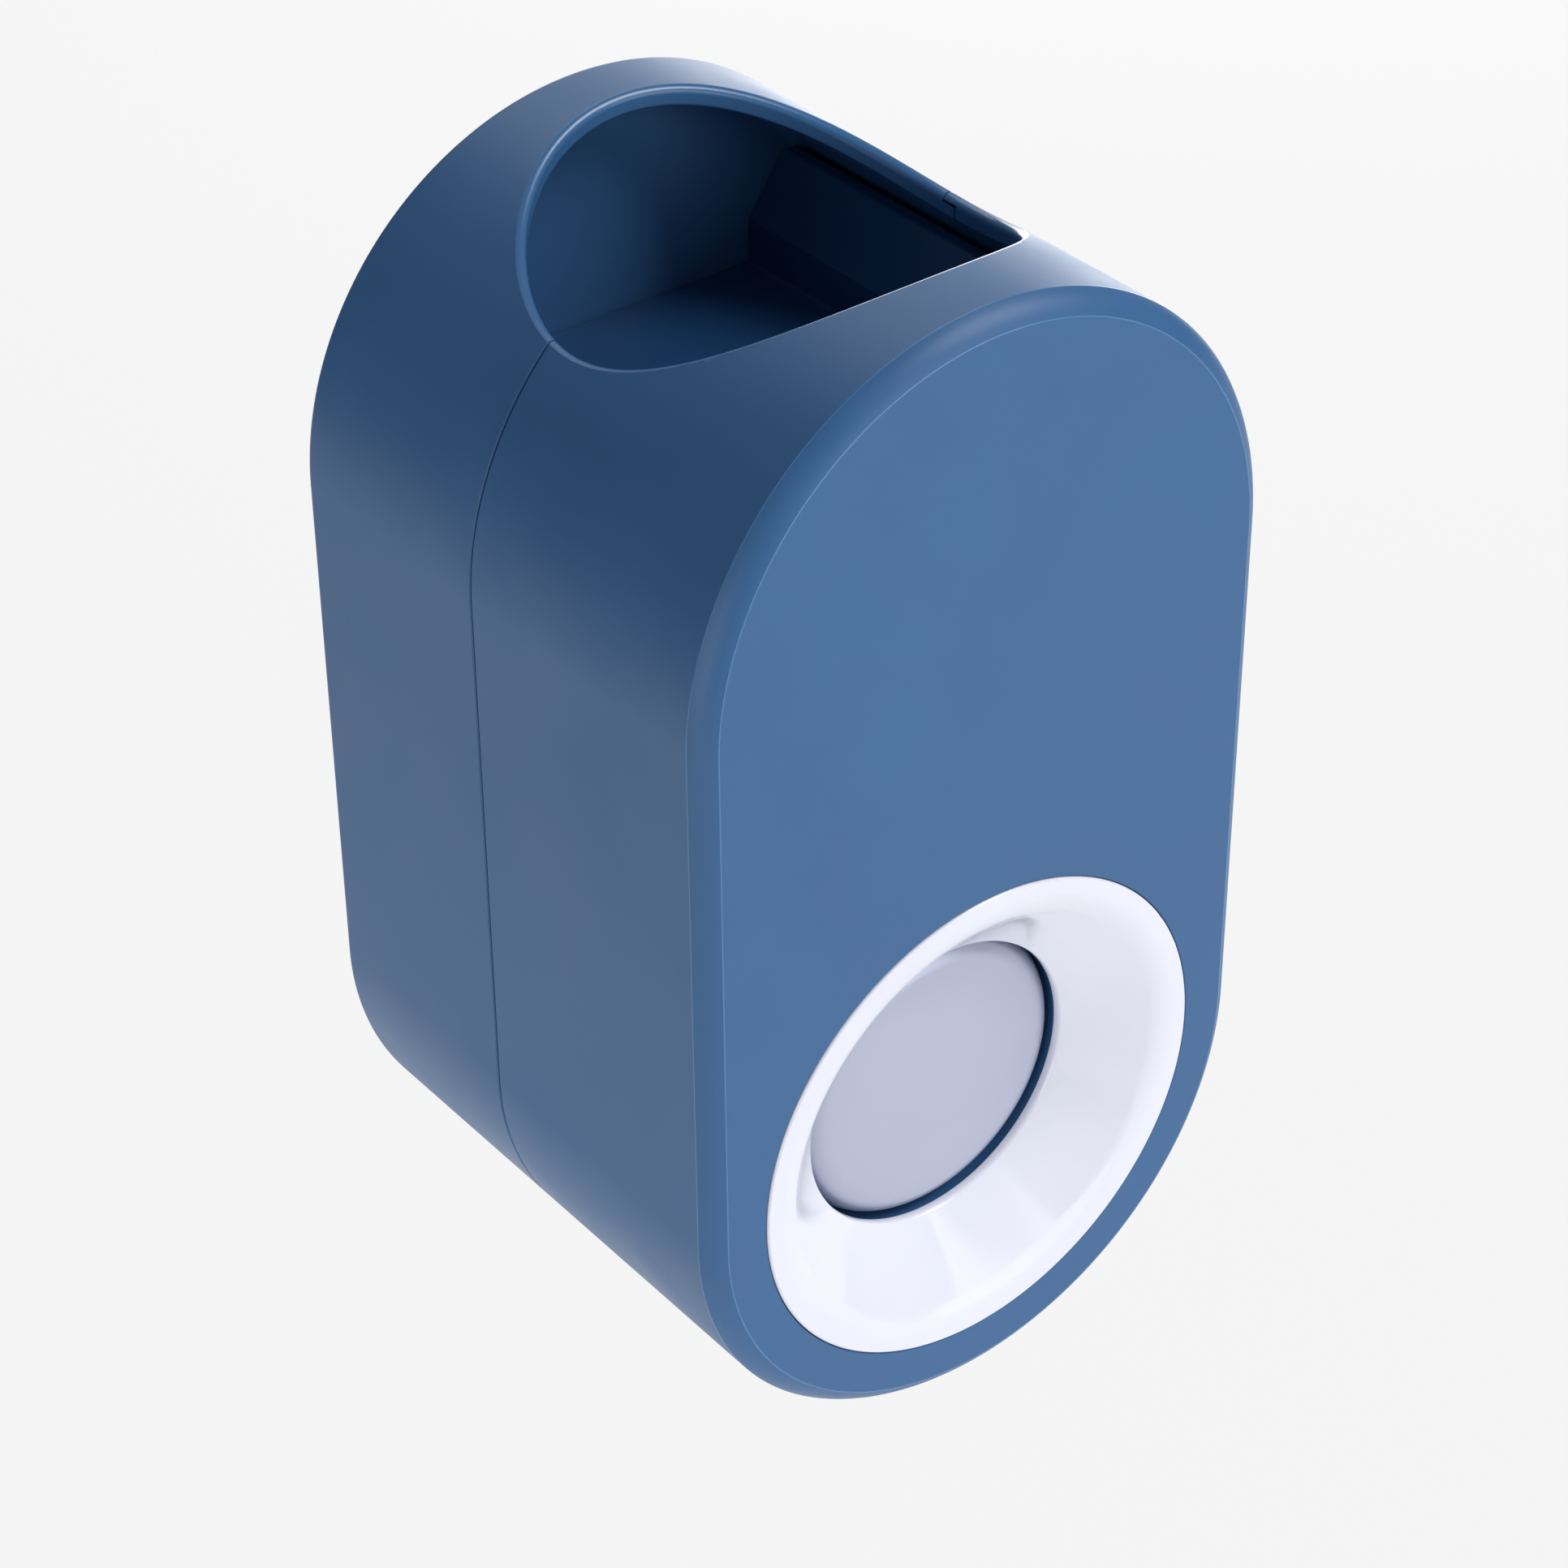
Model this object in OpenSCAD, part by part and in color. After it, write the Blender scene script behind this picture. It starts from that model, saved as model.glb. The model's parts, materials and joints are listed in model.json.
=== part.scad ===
// Wall-hung toothpaste dispenser. Front faces -Y, the wall is the plane Y = 0, +Z is up.
// Origin: centre of the adhesive face on the wall. X mirrors left to right.
// Depths are counted from the front face towards the wall, heights from the casing's lowest point.

/* [Casing] */
// Width of the casing, and so the diameter of its two round ends
body_w = 79; // [76:0.5:84]
// Height of the casing
body_h = 145; // [143:0.5:165]
// Depth from the front face to the wall
body_d = 74; // [73:0.5:88]
// Wall thickness of both shells
wall = 2.4; // [2:0.1:2.8]
// Width of the soft bevel round the front face
front_bevel = 2.5; // [1.5:0.1:3]
// Depth of the front shell, where the seam runs round the casing
seam_depth = 41; // [39:0.5:43]
// Length of the lap joint's tongue behind the seam
lap = 2; // [1:0.1:3]
// Gap that shows as the seam line
seam_gap = 0.15; // [0.1:0.01:0.3]
// Gap between the rear shell and the wall
wall_gap = 0.4; // [0.2:0.05:0.5]

/* [Top opening] */
// Radius of the round opening for the tube
opening_r = 26.7; // [24:0.1:28]
// Depth of the opening's centre behind the front face
opening_depth = 38; // [37:0.5:40]

/* [Brush ring] */
// Outer radius of the white ring
ring_r = 31.6; // [30.5:0.1:32.5]
// Radius where the flat annulus turns into the cone
mouth_r = 27.9; // [26.5:0.1:28.5]
// Radius of the throat
throat_r = 18.9; // [17.5:0.1:19.1]
// Depth of the throat behind the front face
throat_depth = 8.2; // [7.5:0.1:9]
// How far the ring stands proud of the front face
ring_proud = 0.2; // [0:0.05:0.4]
// Thickness of the ring's flange under the front face
flange_t = 1.6; // [1.2:0.1:1.8]
// Thickness of the ring's cone
cone_t = 1.5; // [1.2:0.1:1.8]
// Length of the straight lip behind the throat
lip_len = 1.1; // [0.8:0.1:1.3]

/* [Collar of the front shell] */
// Bore radius of the collar that guides the cap
collar_r = 19.65; // [19.6:0.05:20]
// Wall of the collar and of the dished seat
collar_t = 2; // [1.6:0.1:2.2]
// Depth of the collar's rear end
collar_end = 24; // [22:0.5:26]

/* [Cap and carriage] */
// Radius of the silver cap
cap_r = 19.3; // [19:0.05:19.35]
// Depth of the cap's crown at its centre, at rest
cap_depth = 8.3; // [8:0.1:8.6]
// Rise of the cap's crown
cap_crown = 0.6; // [0.3:0.1:0.9]
// Radius of the cap's rounded edge
cap_edge_r = 2; // [1.5:0.1:2.2]
// Length of the cap's skirt behind its rounded edge
cap_skirt = 6.1; // [5:0.1:7]
// Wall of the cap
cap_t = 1.2; // [1:0.1:1.4]
// Thickness of the carriage's disc
disc_t = 3.9; // [3:0.1:5]
// Travel of the cap when a brush is pushed in
travel = 12; // [8:0.5:12.5]
// Radius of the carriage's hub
hub_r = 5; // [4.5:0.1:5.2]
// Length of the hub behind the disc
hub_len = 20; // [16:0.5:22]
// Radius of the steel guide stem
stem_r = 2.5; // [2:0.1:2.8]
// Thickness of the carriage's two ears
ear_t = 2.5; // [2:0.1:2.6]
// Height of an ear
ear_h = 7; // [5:0.5:7]
// Gap from the middle to the inner side of an ear
ear_x = 9.5; // [9:0.1:9.6]
// Height of the ear pins over the cap's axis
ear_rise = 10; // [9.5:0.1:10.2]
// Depth of the ear pins at rest
ear_pin_depth = 40.5; // [40:0.5:41]
// Radius of the ear pins and of the crosshead pin
pin_r = 1.5; // [1.2:0.1:1.6]

/* [Return spring] */
// Radius of the spring's wire
wire_r = 0.5; // [0.4:0.05:0.6]
// Mean radius of the spring's coils
coil_r = 6.4; // [6.3:0.1:7]
// Number of coils
coils = 9; // [7:1:11]

/* [Rocker] */
// Height from the rocker's axle to the pins above and below it
arm_h = 20; // [19:0.5:21]
// Half width of a rocker arm
arm_half_w = 4.2; // [3.8:0.1:4.5]
// Thickness of a rocker arm
arm_t = 2.3; // [2:0.1:2.5]
// Metal left round the end of each slot
arm_tip = 2.4; // [2:0.1:2.8]
// Radius of the steel axle
axle_r = 2; // [1.6:0.1:2.2]
// Outer radius of the tube that joins the two arms
rocker_hub_r = 4.5; // [4:0.1:4.8]

/* [Pump] */
// Bore radius of the pump
bore_r = 6.5; // [6:0.1:6.8]
// Wall of the pump body
pump_t = 2; // [1.8:0.1:2.1]
// Thickness of the pump's closed front end
pump_end_t = 2.5; // [2:0.1:3]
// Length of the piston
piston_len = 5; // [4:0.1:5.5]
// Radius of the piston rod
rod_r = 3; // [2.6:0.1:3.2]
// Radius of the crosshead boss at the rod's rear end
boss_r = 4.5; // [4:0.1:4.8]
// Half length of the crosshead boss
boss_half = 3.5; // [3:0.1:3.6]
// Thickness of the pump's end cap
end_cap_t = 1.7; // [1.4:0.1:1.9]
// Skirt of the end cap over the pump body
end_cap_skirt = 4.8; // [4:0.1:5.2]
// Wall of the end cap's skirt
end_cap_wall = 1; // [0.8:0.1:1.2]
// Bore radius of the paste ports and ducts
port_r = 2.6; // [2.2:0.1:2.7]
// Wall round the ports and ducts
port_t = 1.5; // [1.3:0.1:1.6]
// Depth of the inlet and the outlet behind the front face
port_depth = 15; // [14.9:0.1:15.2]
// Length of the outlet spigot under the pump body
spigot_len = 7; // [5:0.5:8]
// Bore radius of the outlet nozzle
nozzle_r = 1.8; // [1.4:0.1:2]
// Thickness of the nozzle's flange
nozzle_flange_t = 1.1; // [0.8:0.1:1.2]
// Thickness of the silicone valve discs
valve_t = 0.8; // [0.6:0.1:1]

/* [Tube seat] */
// Radius of the socket's bore, which grips the tube's neck
socket_r = 5.6; // [5:0.1:6.2]
// Length of the socket's bore
socket_len = 8; // [6:0.5:9]
// Wall of the socket's sleeve
socket_t = 2.5; // [2:0.1:2.8]
// Radius of the socket's collar on the tray's floor
socket_collar_r = 12.5; // [11.5:0.1:13.5]
// Length of the socket's flared lead-in
lead_len = 1.5; // [1:0.1:2]
// Thickness of the shelf that the tube's neck stands on
shelf_t = 1.2; // [1:0.1:1.5]
// Half width of the tray's floor
tray_half_w = 22; // [21:0.5:22.5]
// Wall of the tray
tray_t = 1.8; // [1.5:0.1:2]
// Height of the tray's upright side wall, below its flare
tray_side_h = 5.5; // [4:0.5:7]

/* [Chassis] */
// Inner half width between the two side plates
chassis_half_w = 17; // [16.8:0.1:17.2]
// Thickness of the chassis plates
chassis_t = 2; // [1.8:0.1:2.2]
// Thickness of the rear wall
chassis_rear_t = 3; // [2.5:0.1:3.2]
// Gap between the collar and the deck above it
deck_gap = 2.85; // [2.5:0.05:3.5]
// Radius of the pegs that locate the tray
peg_r = 1.4; // [1.2:0.1:1.6]
// Length of the pegs
peg_len = 5; // [4:0.5:6]

/* [Wall mount] */
// Height of the wall plate's centre over the casing's lowest point
plate_rise = 85; // [84:0.5:88]
// Width of the adhesive face
plate_w = 34; // [30:1:36]
// Height of the adhesive face
plate_h = 30; // [28:1:32]
// Thickness of the adhesive pad
pad_t = 0.8; // [0.5:0.1:1]
// Thickness of the plate behind its head
plate_t = 1.8; // [1.6:0.1:2]
// Width by which the head overhangs each side
head_over = 5; // [4:0.1:5.5]
// Height of the head
head_h = 12; // [10:0.5:13]
// Thickness of the head
head_t = 2; // [1.8:0.1:2.2]
// How far the casing lifts before it comes off the plate
lift = 15; // [14.5:0.5:16]

/* [Fasteners] */
// Shank radius of the screws
screw_r = 1.45; // [1.2:0.05:1.6]
// Head radius of the screws
screw_head_r = 2.8; // [2.5:0.1:2.9]
// Head height of the screws
screw_head_h = 2; // [1.6:0.1:2.2]
// Wall round a screw's pilot hole
boss_t = 2.1; // [1.8:0.1:2.3]
// Wall of the rear shell's screw tubes
case_boss_t = 1.4; // [1.2:0.1:1.6]
// Thickness of the web that a casing screw's head pulls on
case_web = 5; // [4:0.5:6]
// Length of a casing screw's shank
case_screw_len = 15; // [12:0.5:16]
// Length of a chassis screw's shank
chassis_screw_len = 6; // [5:0.5:6]

/* [Clearances] */
// Radial running clearance of pins, stem, axle and rod
run_fit = 0.05; // [0.03:0.01:0.08]
// Gap between sliding faces
slide_gap = 0.3; // [0.2:0.05:0.4]
// Gap beside a pin in its slot
slot_gap = 0.15; // [0.12:0.01:0.2]
// Gap between fixed pieces
seat_gap = 0.1; // [0.05:0.01:0.15]
// Room left behind what moves, at the end of its travel
end_room = 1.5; // [1.2:0.1:1.6]

/* [Hidden] */
$fn = 96;
// How far a cutting shape runs past what it cuts
over = 1;

// Casing
end_r = body_w / 2;
inner_r = end_r - wall;
ring_z = end_r;
arch_z = body_h - end_r;
back_depth = body_d - wall_gap;
rear_inner = back_depth - wall;

// Ring, seat and collar
cone_run = throat_depth + ring_proud;
cone_fall = mouth_r - throat_r;
cone_slant = sqrt(cone_run * cone_run + cone_fall * cone_fall);
cone_back_r = cone_t * cone_slant / cone_run;
lip_end = throat_depth + lip_len;
lip_r = cone_radius(lip_end) + cone_back_r;
seat_end = lip_end + seat_gap;
recess_r = ring_r + seat_gap;
recess_floor = flange_t + collar_t;
collar_out = collar_r + collar_t;

// Cap and carriage
cap_rim = cap_depth + cap_crown;
cap_inner = cap_rim + cap_t;
cap_end = cap_rim + cap_edge_r + cap_skirt;
disc_back = cap_inner + disc_t;
hub_end = disc_back + hub_len;
stem_front = cap_inner + travel + stem_r / 5;
ear_out = ear_x + ear_t;
ear_z = ring_z + ear_rise;
ear_end = ear_pin_depth + 2 * pin_r;
pin_reach = ear_out + 2 * slide_gap + seat_gap + arm_t + 2 * slide_gap;

// Rocker
arm_x = ear_out + 2 * slide_gap + seat_gap;
pivot_depth = ear_pin_depth + travel / 2;
pivot_z = ear_z + arm_h;
rest_tilt = atan(travel / 2 / arm_h);
pin_far = arm_h / cos(rest_tilt);
arm_end = pin_far + pin_r + slot_gap + arm_tip;
rocker_half_w = chassis_half_w - slide_gap;

// Pump
piston_z = pivot_z + arm_h;
cross_depth = ear_pin_depth + travel;
pump_out = bore_r + pump_t;
cap_back = cross_depth - travel - boss_half - seat_gap;
cap_front = cap_back - end_cap_t;
piston_back = cap_front - slide_gap;
piston_front = piston_back - piston_len;
chamber_front = port_depth - port_r - seat_gap;
pump_front = chamber_front - pump_end_t;
port_out = port_r + port_t;
inlet_top = piston_z + pump_out + end_cap_wall + slide_gap;
seal_r = bore_r - run_fit;
ring_groove = piston_len / 5;

// Paste way
duct_z = inlet_top + port_out;
duct_top = duct_z + port_out;
spigot_low = piston_z - pump_out - spigot_len;
nozzle_low = ring_z + collar_r - seat_gap;
nozzle_seat = ring_z + collar_out + seat_gap;
pipe_low = nozzle_seat + nozzle_flange_t;
pipe_out = port_out + slide_gap;
nozzle_out = port_out - port_t / 2;

// Tube seat
shelf_low = duct_top + seat_gap;
neck_low = shelf_low + shelf_t;
neck_high = neck_low + socket_len;
socket_top = neck_high + lead_len;
sleeve_r = socket_r + socket_t;
tray_low = neck_low + socket_len / 2 - seat_gap;
tray_floor = tray_low + tray_t;
flare_x = opening_r + tray_t / 3;
flare_top = arch_z + sqrt(pow(inner_r - 2 * slide_gap, 2) - pow(flare_x + tray_t, 2));
tray_front = wall + tray_t;
tray_back = rear_inner - slide_gap;

// Chassis
chassis_out = chassis_half_w + chassis_t;
deck_z = ring_z + collar_out + deck_gap;
chassis_front = wall + 2 * boss_t + chassis_t / 2;
chassis_back = ear_end + travel + end_room + chassis_rear_t;
rear_face = chassis_back - chassis_rear_t;
foot_z = ring_z - 2 * axle_r - stem_r;
leg_depth = collar_end + 3 * wall;
saddle_front = port_depth + port_out + end_room;
saddle_back = cap_front - end_cap_skirt - chassis_t - slide_gap;
deck_front = chassis_front + chassis_t;
deck_back = cap_front - end_cap_t;
spring_seat_r = coil_r - wire_r - 3 * slide_gap - seat_gap;
spring_seat_len = 2 * chassis_rear_t;
screw_boss_r = screw_r + boss_t;
tab_x = chassis_out + 2 * screw_boss_r;
tab_low = deck_z + 1.7 * screw_boss_r;
tab_high = duct_z + seat_gap;
tab_half = screw_boss_r + chassis_t / 4;
peg_x = chassis_half_w - peg_r;
peg_front = saddle_front;
peg_back = chassis_back - 2 * chassis_rear_t;

// Casing screws; the top ones stand on the arch's shoulders, no higher than the tray's upright sides
case_boss_r = screw_head_r + case_boss_t;
head_hole_r = screw_head_r + slide_gap;
top_boss_x = tray_half_w + tray_t + case_boss_r + 2 * slide_gap;
top_boss_z = min(arch_z + 2.5 * case_boss_r, tray_floor + tray_side_h + 2 * seat_gap - case_boss_r);
mid_boss_x = inner_r - case_boss_r - wall;
mid_boss_z = (tab_low + tab_high) / 2;
low_boss_z = wall + case_boss_r + wall;
CASE_PLACES = [[-top_boss_x, top_boss_z], [top_boss_x, top_boss_z], [-mid_boss_x, mid_boss_z],
    [mid_boss_x, mid_boss_z], [0, low_boss_z]];
TAB_PLACES = [[-tab_x, tab_low], [tab_x, tab_low], [-tab_x, tab_high], [tab_x, tab_high]];

// Wall mount
plate_top = plate_rise + plate_h / 2;
plate_low = plate_rise - plate_h / 2;
head_half_w = plate_w / 2 + head_over;
plate_face = body_d - pad_t;
head_face = plate_face - plate_t;
head_front = head_face - head_t;
pocket_depth = head_front - slide_gap;
lip_front = head_face + seat_gap;
entry_top = plate_top - head_h - end_room;

// Radius of the ring's cone at a depth behind the front face
function cone_radius(d) = throat_r + (throat_depth - d) * cone_fall / cone_run;
// Depth of the cap's crowned face at a radius
function crown_depth(r) = cap_depth + cap_crown * pow(r / (cap_r - cap_edge_r), 2);
// A point of the spring's centreline, as an angle and a share of its length
function spring_point(turn, span) = [coil_r * cos(turn), span, coil_r * sin(turn)];

// Moves its children from the casing's lowest point to the wall mount's origin
module placed() {
    translate([0, 0, -plate_rise]) children();
}

// Round bar along the depth
module bar(r, d0, d1, x = 0, z = 0) {
    translate([x, d0 - body_d, z]) rotate([-90, 0, 0]) cylinder(r = r, h = d1 - d0);
}

// Round post along the height
module post(r, z0, z1, x = 0, d = 0) {
    translate([x, d - body_d, z0]) cylinder(r = r, h = z1 - z0);
}

// Round bar across the width
module cross_bar(r, x0, x1, d, z) {
    translate([x0, d - body_d, z]) rotate([0, 90, 0]) cylinder(r = r, h = x1 - x0);
}

// Block from one corner to the other, as width, depth and height
module block(x0, x1, d0, d1, z0, z1) {
    translate([x0, d0 - body_d, z0]) cube([x1 - x0, d1 - d0, z1 - z0]);
}

// Turned solid round an axis along the depth; its outline is drawn as radius and depth
module turned_deep(x = 0, z = 0) {
    translate([x, -body_d, z]) rotate([-90, 0, 0]) rotate_extrude() children();
}

// Turned solid round an upright axis; its outline is drawn as radius and height
module turned_up(d) {
    translate([0, d - body_d, 0]) rotate_extrude() children();
}

// Casing's outline, drawn in by an inset
module outline(inset) {
    translate([0, ring_z]) circle(r = end_r - inset, $fn = 180);
    translate([0, arch_z]) circle(r = end_r - inset, $fn = 180);
    translate([inset - end_r, ring_z]) square([2 * (end_r - inset), arch_z - ring_z]);
}

// Slab of the casing's outline between two depths
module slab(inset, d0, d1) {
    translate([0, d1 - body_d, 0]) rotate([90, 0, 0]) linear_extrude(d1 - d0) outline(inset);
}

// Front of the casing, with its bevel
module bevelled_front() {
    for (z = [ring_z, arch_z])
        translate([0, -body_d, z]) rotate([-90, 0, 0])
            cylinder(r1 = end_r - front_bevel, r2 = end_r, h = front_bevel, $fn = 180);
    translate([0, 0, ring_z]) linear_extrude(arch_z - ring_z) polygon([
        [front_bevel - end_r, -body_d], [end_r - front_bevel, -body_d],
        [end_r, front_bevel - body_d], [-end_r, front_bevel - body_d]]);
}

// Screw with a pan head, its head's underside at depth d and its shank running to the front
module screw(x, z, d, len) {
    bar(screw_head_r, d, d + screw_head_h, x, z);
    bar(screw_r, d - len, d + screw_head_h / 2, x, z);
}

// Casing: front half with the dished seat and the collar
module front_shell() {
    color("steelblue") placed() difference() {
        union() {
            difference() {
                union() {
                    bevelled_front();
                    slab(0, front_bevel, seam_depth);
                }
                slab(wall, wall, seam_depth + over);
                slab(wall / 2, seam_depth - lap, seam_depth + over);
                bar(recess_r, -over, wall + over, 0, ring_z);
            }
            turned_deep(0, ring_z) polygon([
                [recess_r, wall / 2], [recess_r + collar_t, wall / 2],
                [recess_r + collar_t, recess_floor],
                [cone_radius(recess_floor) + cone_back_r + collar_t * 1.4, recess_floor],
                [collar_out, seat_end + collar_t * 0.6], [collar_out, collar_end],
                [collar_r, collar_end], [collar_r, seat_end], [lip_r + seat_gap, seat_end],
                [cone_radius(flange_t) + cone_back_r + seat_gap, flange_t], [recess_r, flange_t]]);
            for (p = CASE_PLACES)
                bar(screw_boss_r, p[1] == low_boss_z ? recess_floor - seat_gap : wall / 2, seam_depth,
                    p[0], p[1]);
            for (p = TAB_PLACES)
                bar(screw_boss_r, wall / 2, chassis_front, p[0], p[1]);
        }
        post(opening_r, arch_z, body_h + over, 0, opening_depth);
        for (p = CASE_PLACES)
            bar(screw_r + run_fit, seam_depth - case_screw_len, seam_depth + over, p[0], p[1]);
        for (p = TAB_PLACES)
            bar(screw_r + run_fit, wall, chassis_front + over, p[0], p[1]);
        post(nozzle_out + seat_gap, ring_z + throat_r - collar_t, ring_z + collar_out + over, 0, port_depth);
    }
}

// Casing: rear half with the pocket for the wall plate and the screw tubes
module rear_shell() {
    color("steelblue") placed() difference() {
        union() {
            difference() {
                slab(0, seam_depth + seam_gap, back_depth);
                slab(wall, seam_depth - over, rear_inner);
            }
            difference() {
                slab(wall / 2 + seam_gap, seam_depth - lap + seam_gap, seam_depth + over);
                slab(wall, seam_depth - lap - over, seam_depth + 2 * over);
            }
            block(-head_half_w - wall, head_half_w + wall, pocket_depth - wall, back_depth,
                plate_low - lift - wall - seat_gap, plate_top + wall);
            for (p = CASE_PLACES)
                bar(case_boss_r, seam_depth + seam_gap, back_depth - wall / 2, p[0], p[1]);
        }
        post(opening_r, arch_z, body_h + over, 0, opening_depth);
        for (p = CASE_PLACES) {
            bar(screw_r + slide_gap, seam_depth - over, back_depth, p[0], p[1]);
            bar(head_hole_r, seam_depth + case_web, back_depth + over, p[0], p[1]);
        }
        block(-plate_w / 2 - slide_gap, plate_w / 2 + slide_gap, pocket_depth, back_depth + over,
            plate_low - lift - seat_gap, plate_top + seat_gap / 2);
        block(-head_half_w - slide_gap, head_half_w + slide_gap, pocket_depth, lip_front,
            plate_top - head_h - lift - seat_gap, plate_top + seat_gap / 2);
        block(-head_half_w - slide_gap, head_half_w + slide_gap, pocket_depth, back_depth + over,
            plate_top - head_h - lift - seat_gap, entry_top);
    }
}

// White ring: flat annulus, cone and lip
module funnel_ring() {
    color("white") placed() turned_deep(0, ring_z) polygon([
        [mouth_r, -ring_proud], [ring_r, -ring_proud], [ring_r, flange_t],
        [cone_radius(flange_t) + cone_back_r, flange_t], [lip_r, lip_end], [throat_r, lip_end],
        [throat_r, throat_depth]]);
}

// Silver cap that the brush head pushes
module push_cap() {
    flat_r = cap_r - cap_edge_r;
    steps = 12;
    color("lightgray") placed() turned_deep(0, ring_z) polygon(concat(
        [for (i = [0:steps]) [flat_r * i / steps, crown_depth(flat_r * i / steps)]],
        [for (i = [1:steps]) [flat_r + cap_edge_r * sin(90 * i / steps),
            cap_rim + cap_edge_r * (1 - cos(90 * i / steps))]],
        [[cap_r, cap_end], [cap_r - cap_t, cap_end], [cap_r - cap_t, cap_inner], [0, cap_inner]]));
}

// Carriage behind the cap: disc, hub and two ears with pins
module pusher_carriage() {
    color("gainsboro") placed() difference() {
        union() {
            bar(cap_r - cap_t - seat_gap, cap_inner, disc_back, 0, ring_z);
            bar(hub_r, disc_back - over, hub_end, 0, ring_z);
            for (s = [-1, 1]) {
                block(s > 0 ? ear_x : -ear_out, s > 0 ? ear_out : -ear_x, disc_back - over, ear_end,
                    ear_z - ear_h / 2, ear_z + ear_h / 2 - ear_t / 5);
                cross_bar(pin_r, s > 0 ? ear_out - over : -pin_reach, s > 0 ? pin_reach : over - ear_out,
                    ear_pin_depth, ear_z);
            }
        }
        bar(stem_r + run_fit, cap_inner - over, hub_end + over, 0, ring_z);
    }
}

// Steel stem that the carriage slides on
module guide_stem() {
    color("silver") placed() bar(stem_r, stem_front, chassis_back, 0, ring_z);
}

// Compression spring round the hub: one tube swept along a helix with closed ends
module return_spring() {
    sides = 6;
    per_coil = 8;
    rings = coils * per_coil;
    first = disc_back + wire_r + seat_gap;
    last = rear_face - wire_r - seat_gap;
    pitch = (last - first) / coils;
    echo("return spring, least gap between its coils:", pitch - 2 * wire_r);
    points = [for (i = [0:rings]) let (turn = 360 * i / per_coil, at = first + pitch * i / per_coil)
        for (k = [0:sides - 1]) let (side = 360 * k / sides)
            spring_point(turn, at - body_d) + wire_r * cos(side) * [cos(turn), 0, sin(turn)]
                + wire_r * sin(side) * [0, 1, 0]];
    walls = [for (i = [0:rings - 1]) for (k = [0:sides - 1])
        let (a = i * sides + k, b = i * sides + (k + 1) % sides)
            for (f = [[a, a + sides, b + sides], [a, b + sides, b]]) f];
    ends = concat([for (k = [1:sides - 2]) [0, k, k + 1]],
        [for (k = [1:sides - 2]) [rings * sides, rings * sides + k + 1, rings * sides + k]]);
    color("silver") placed() translate([0, 0, ring_z]) polyhedron(points, concat(walls, ends));
}

// Chassis that holds the pump, the rocker and the stem
module chassis() {
    color("whitesmoke") placed() difference() {
        union() {
            for (x = [-chassis_out, chassis_half_w])
                translate([x, -body_d, 0]) rotate([90, 0, 90]) linear_extrude(chassis_t) polygon([
                    [chassis_front, deck_z], [leg_depth, deck_z], [leg_depth, foot_z],
                    [chassis_back, foot_z], [chassis_back, tray_low], [chassis_front, tray_low]]);
            block(-chassis_out, chassis_out, deck_front, deck_back, deck_z, deck_z + chassis_t);
            for (d = [saddle_front, saddle_back])
                block(-chassis_out, chassis_out, d, d + chassis_t, deck_z, piston_z);
            block(-chassis_out, chassis_out, rear_face, chassis_back, foot_z, pivot_z);
            bar(spring_seat_r, rear_face - spring_seat_len, chassis_back, 0, ring_z);
            for (p = TAB_PLACES)
                block(p[0] < 0 ? p[0] - tab_half : chassis_half_w,
                    p[0] < 0 ? -chassis_half_w : p[0] + tab_half,
                    chassis_front, chassis_front + chassis_t, p[1] - tab_half, p[1] + tab_half);
            for (s = [-1, 1], d = [peg_front, peg_back])
                post(2 * peg_r, tray_low - 2 * peg_len, tray_low, s * peg_x, d);
        }
        bar(pump_out + seat_gap, saddle_front - over, saddle_back + chassis_t + over, 0, piston_z);
        bar(stem_r + run_fit / 2, rear_face - spring_seat_len - over, chassis_back + over, 0, ring_z);
        cross_bar(axle_r + run_fit / 2, -chassis_out - over, chassis_out + over, pivot_depth, pivot_z);
        post(pipe_out + slide_gap, deck_z - over, deck_z + chassis_t + over, 0, port_depth);
        for (p = TAB_PLACES)
            bar(screw_r + slide_gap, chassis_front - over, chassis_front + chassis_t + over, p[0], p[1]);
        for (s = [-1, 1], d = [peg_front, peg_back])
            post(peg_r + run_fit, tray_low - peg_len - over, tray_low + over, s * peg_x, d);
    }
}

// Outline of a rocker arm with its two slots, upright about its axle
module arm_outline() {
    slot_half = pin_r + slot_gap;
    difference() {
        union() {
            for (s = [-1, 1])
                translate([0, s * (arm_end - arm_half_w)]) circle(r = arm_half_w);
            translate([-arm_half_w, arm_half_w - arm_end])
                square([2 * arm_half_w, 2 * (arm_end - arm_half_w)]);
        }
        for (s = [-1, 1]) {
            translate([0, s * arm_h]) circle(r = slot_half);
            translate([0, s * pin_far]) circle(r = slot_half);
            translate([-slot_half, s > 0 ? arm_h : -pin_far]) square([2 * slot_half, pin_far - arm_h]);
        }
        circle(r = axle_r + run_fit);
    }
}

// Rocker: two slotted arms joined by a tube
module rocker_lever() {
    color("gainsboro") placed() translate([0, pivot_depth - body_d, pivot_z]) rotate([-rest_tilt, 0, 0])
        difference() {
            union() {
                for (x = [-arm_x - arm_t, arm_x])
                    translate([x, 0, 0]) rotate([90, 0, 90]) linear_extrude(arm_t) arm_outline();
                translate([-rocker_half_w, 0, 0]) rotate([0, 90, 0])
                    cylinder(r = rocker_hub_r, h = 2 * rocker_half_w);
            }
            translate([-rocker_half_w - over, 0, 0]) rotate([0, 90, 0])
                cylinder(r = axle_r + run_fit, h = 2 * (rocker_half_w + over));
        }
}

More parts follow.
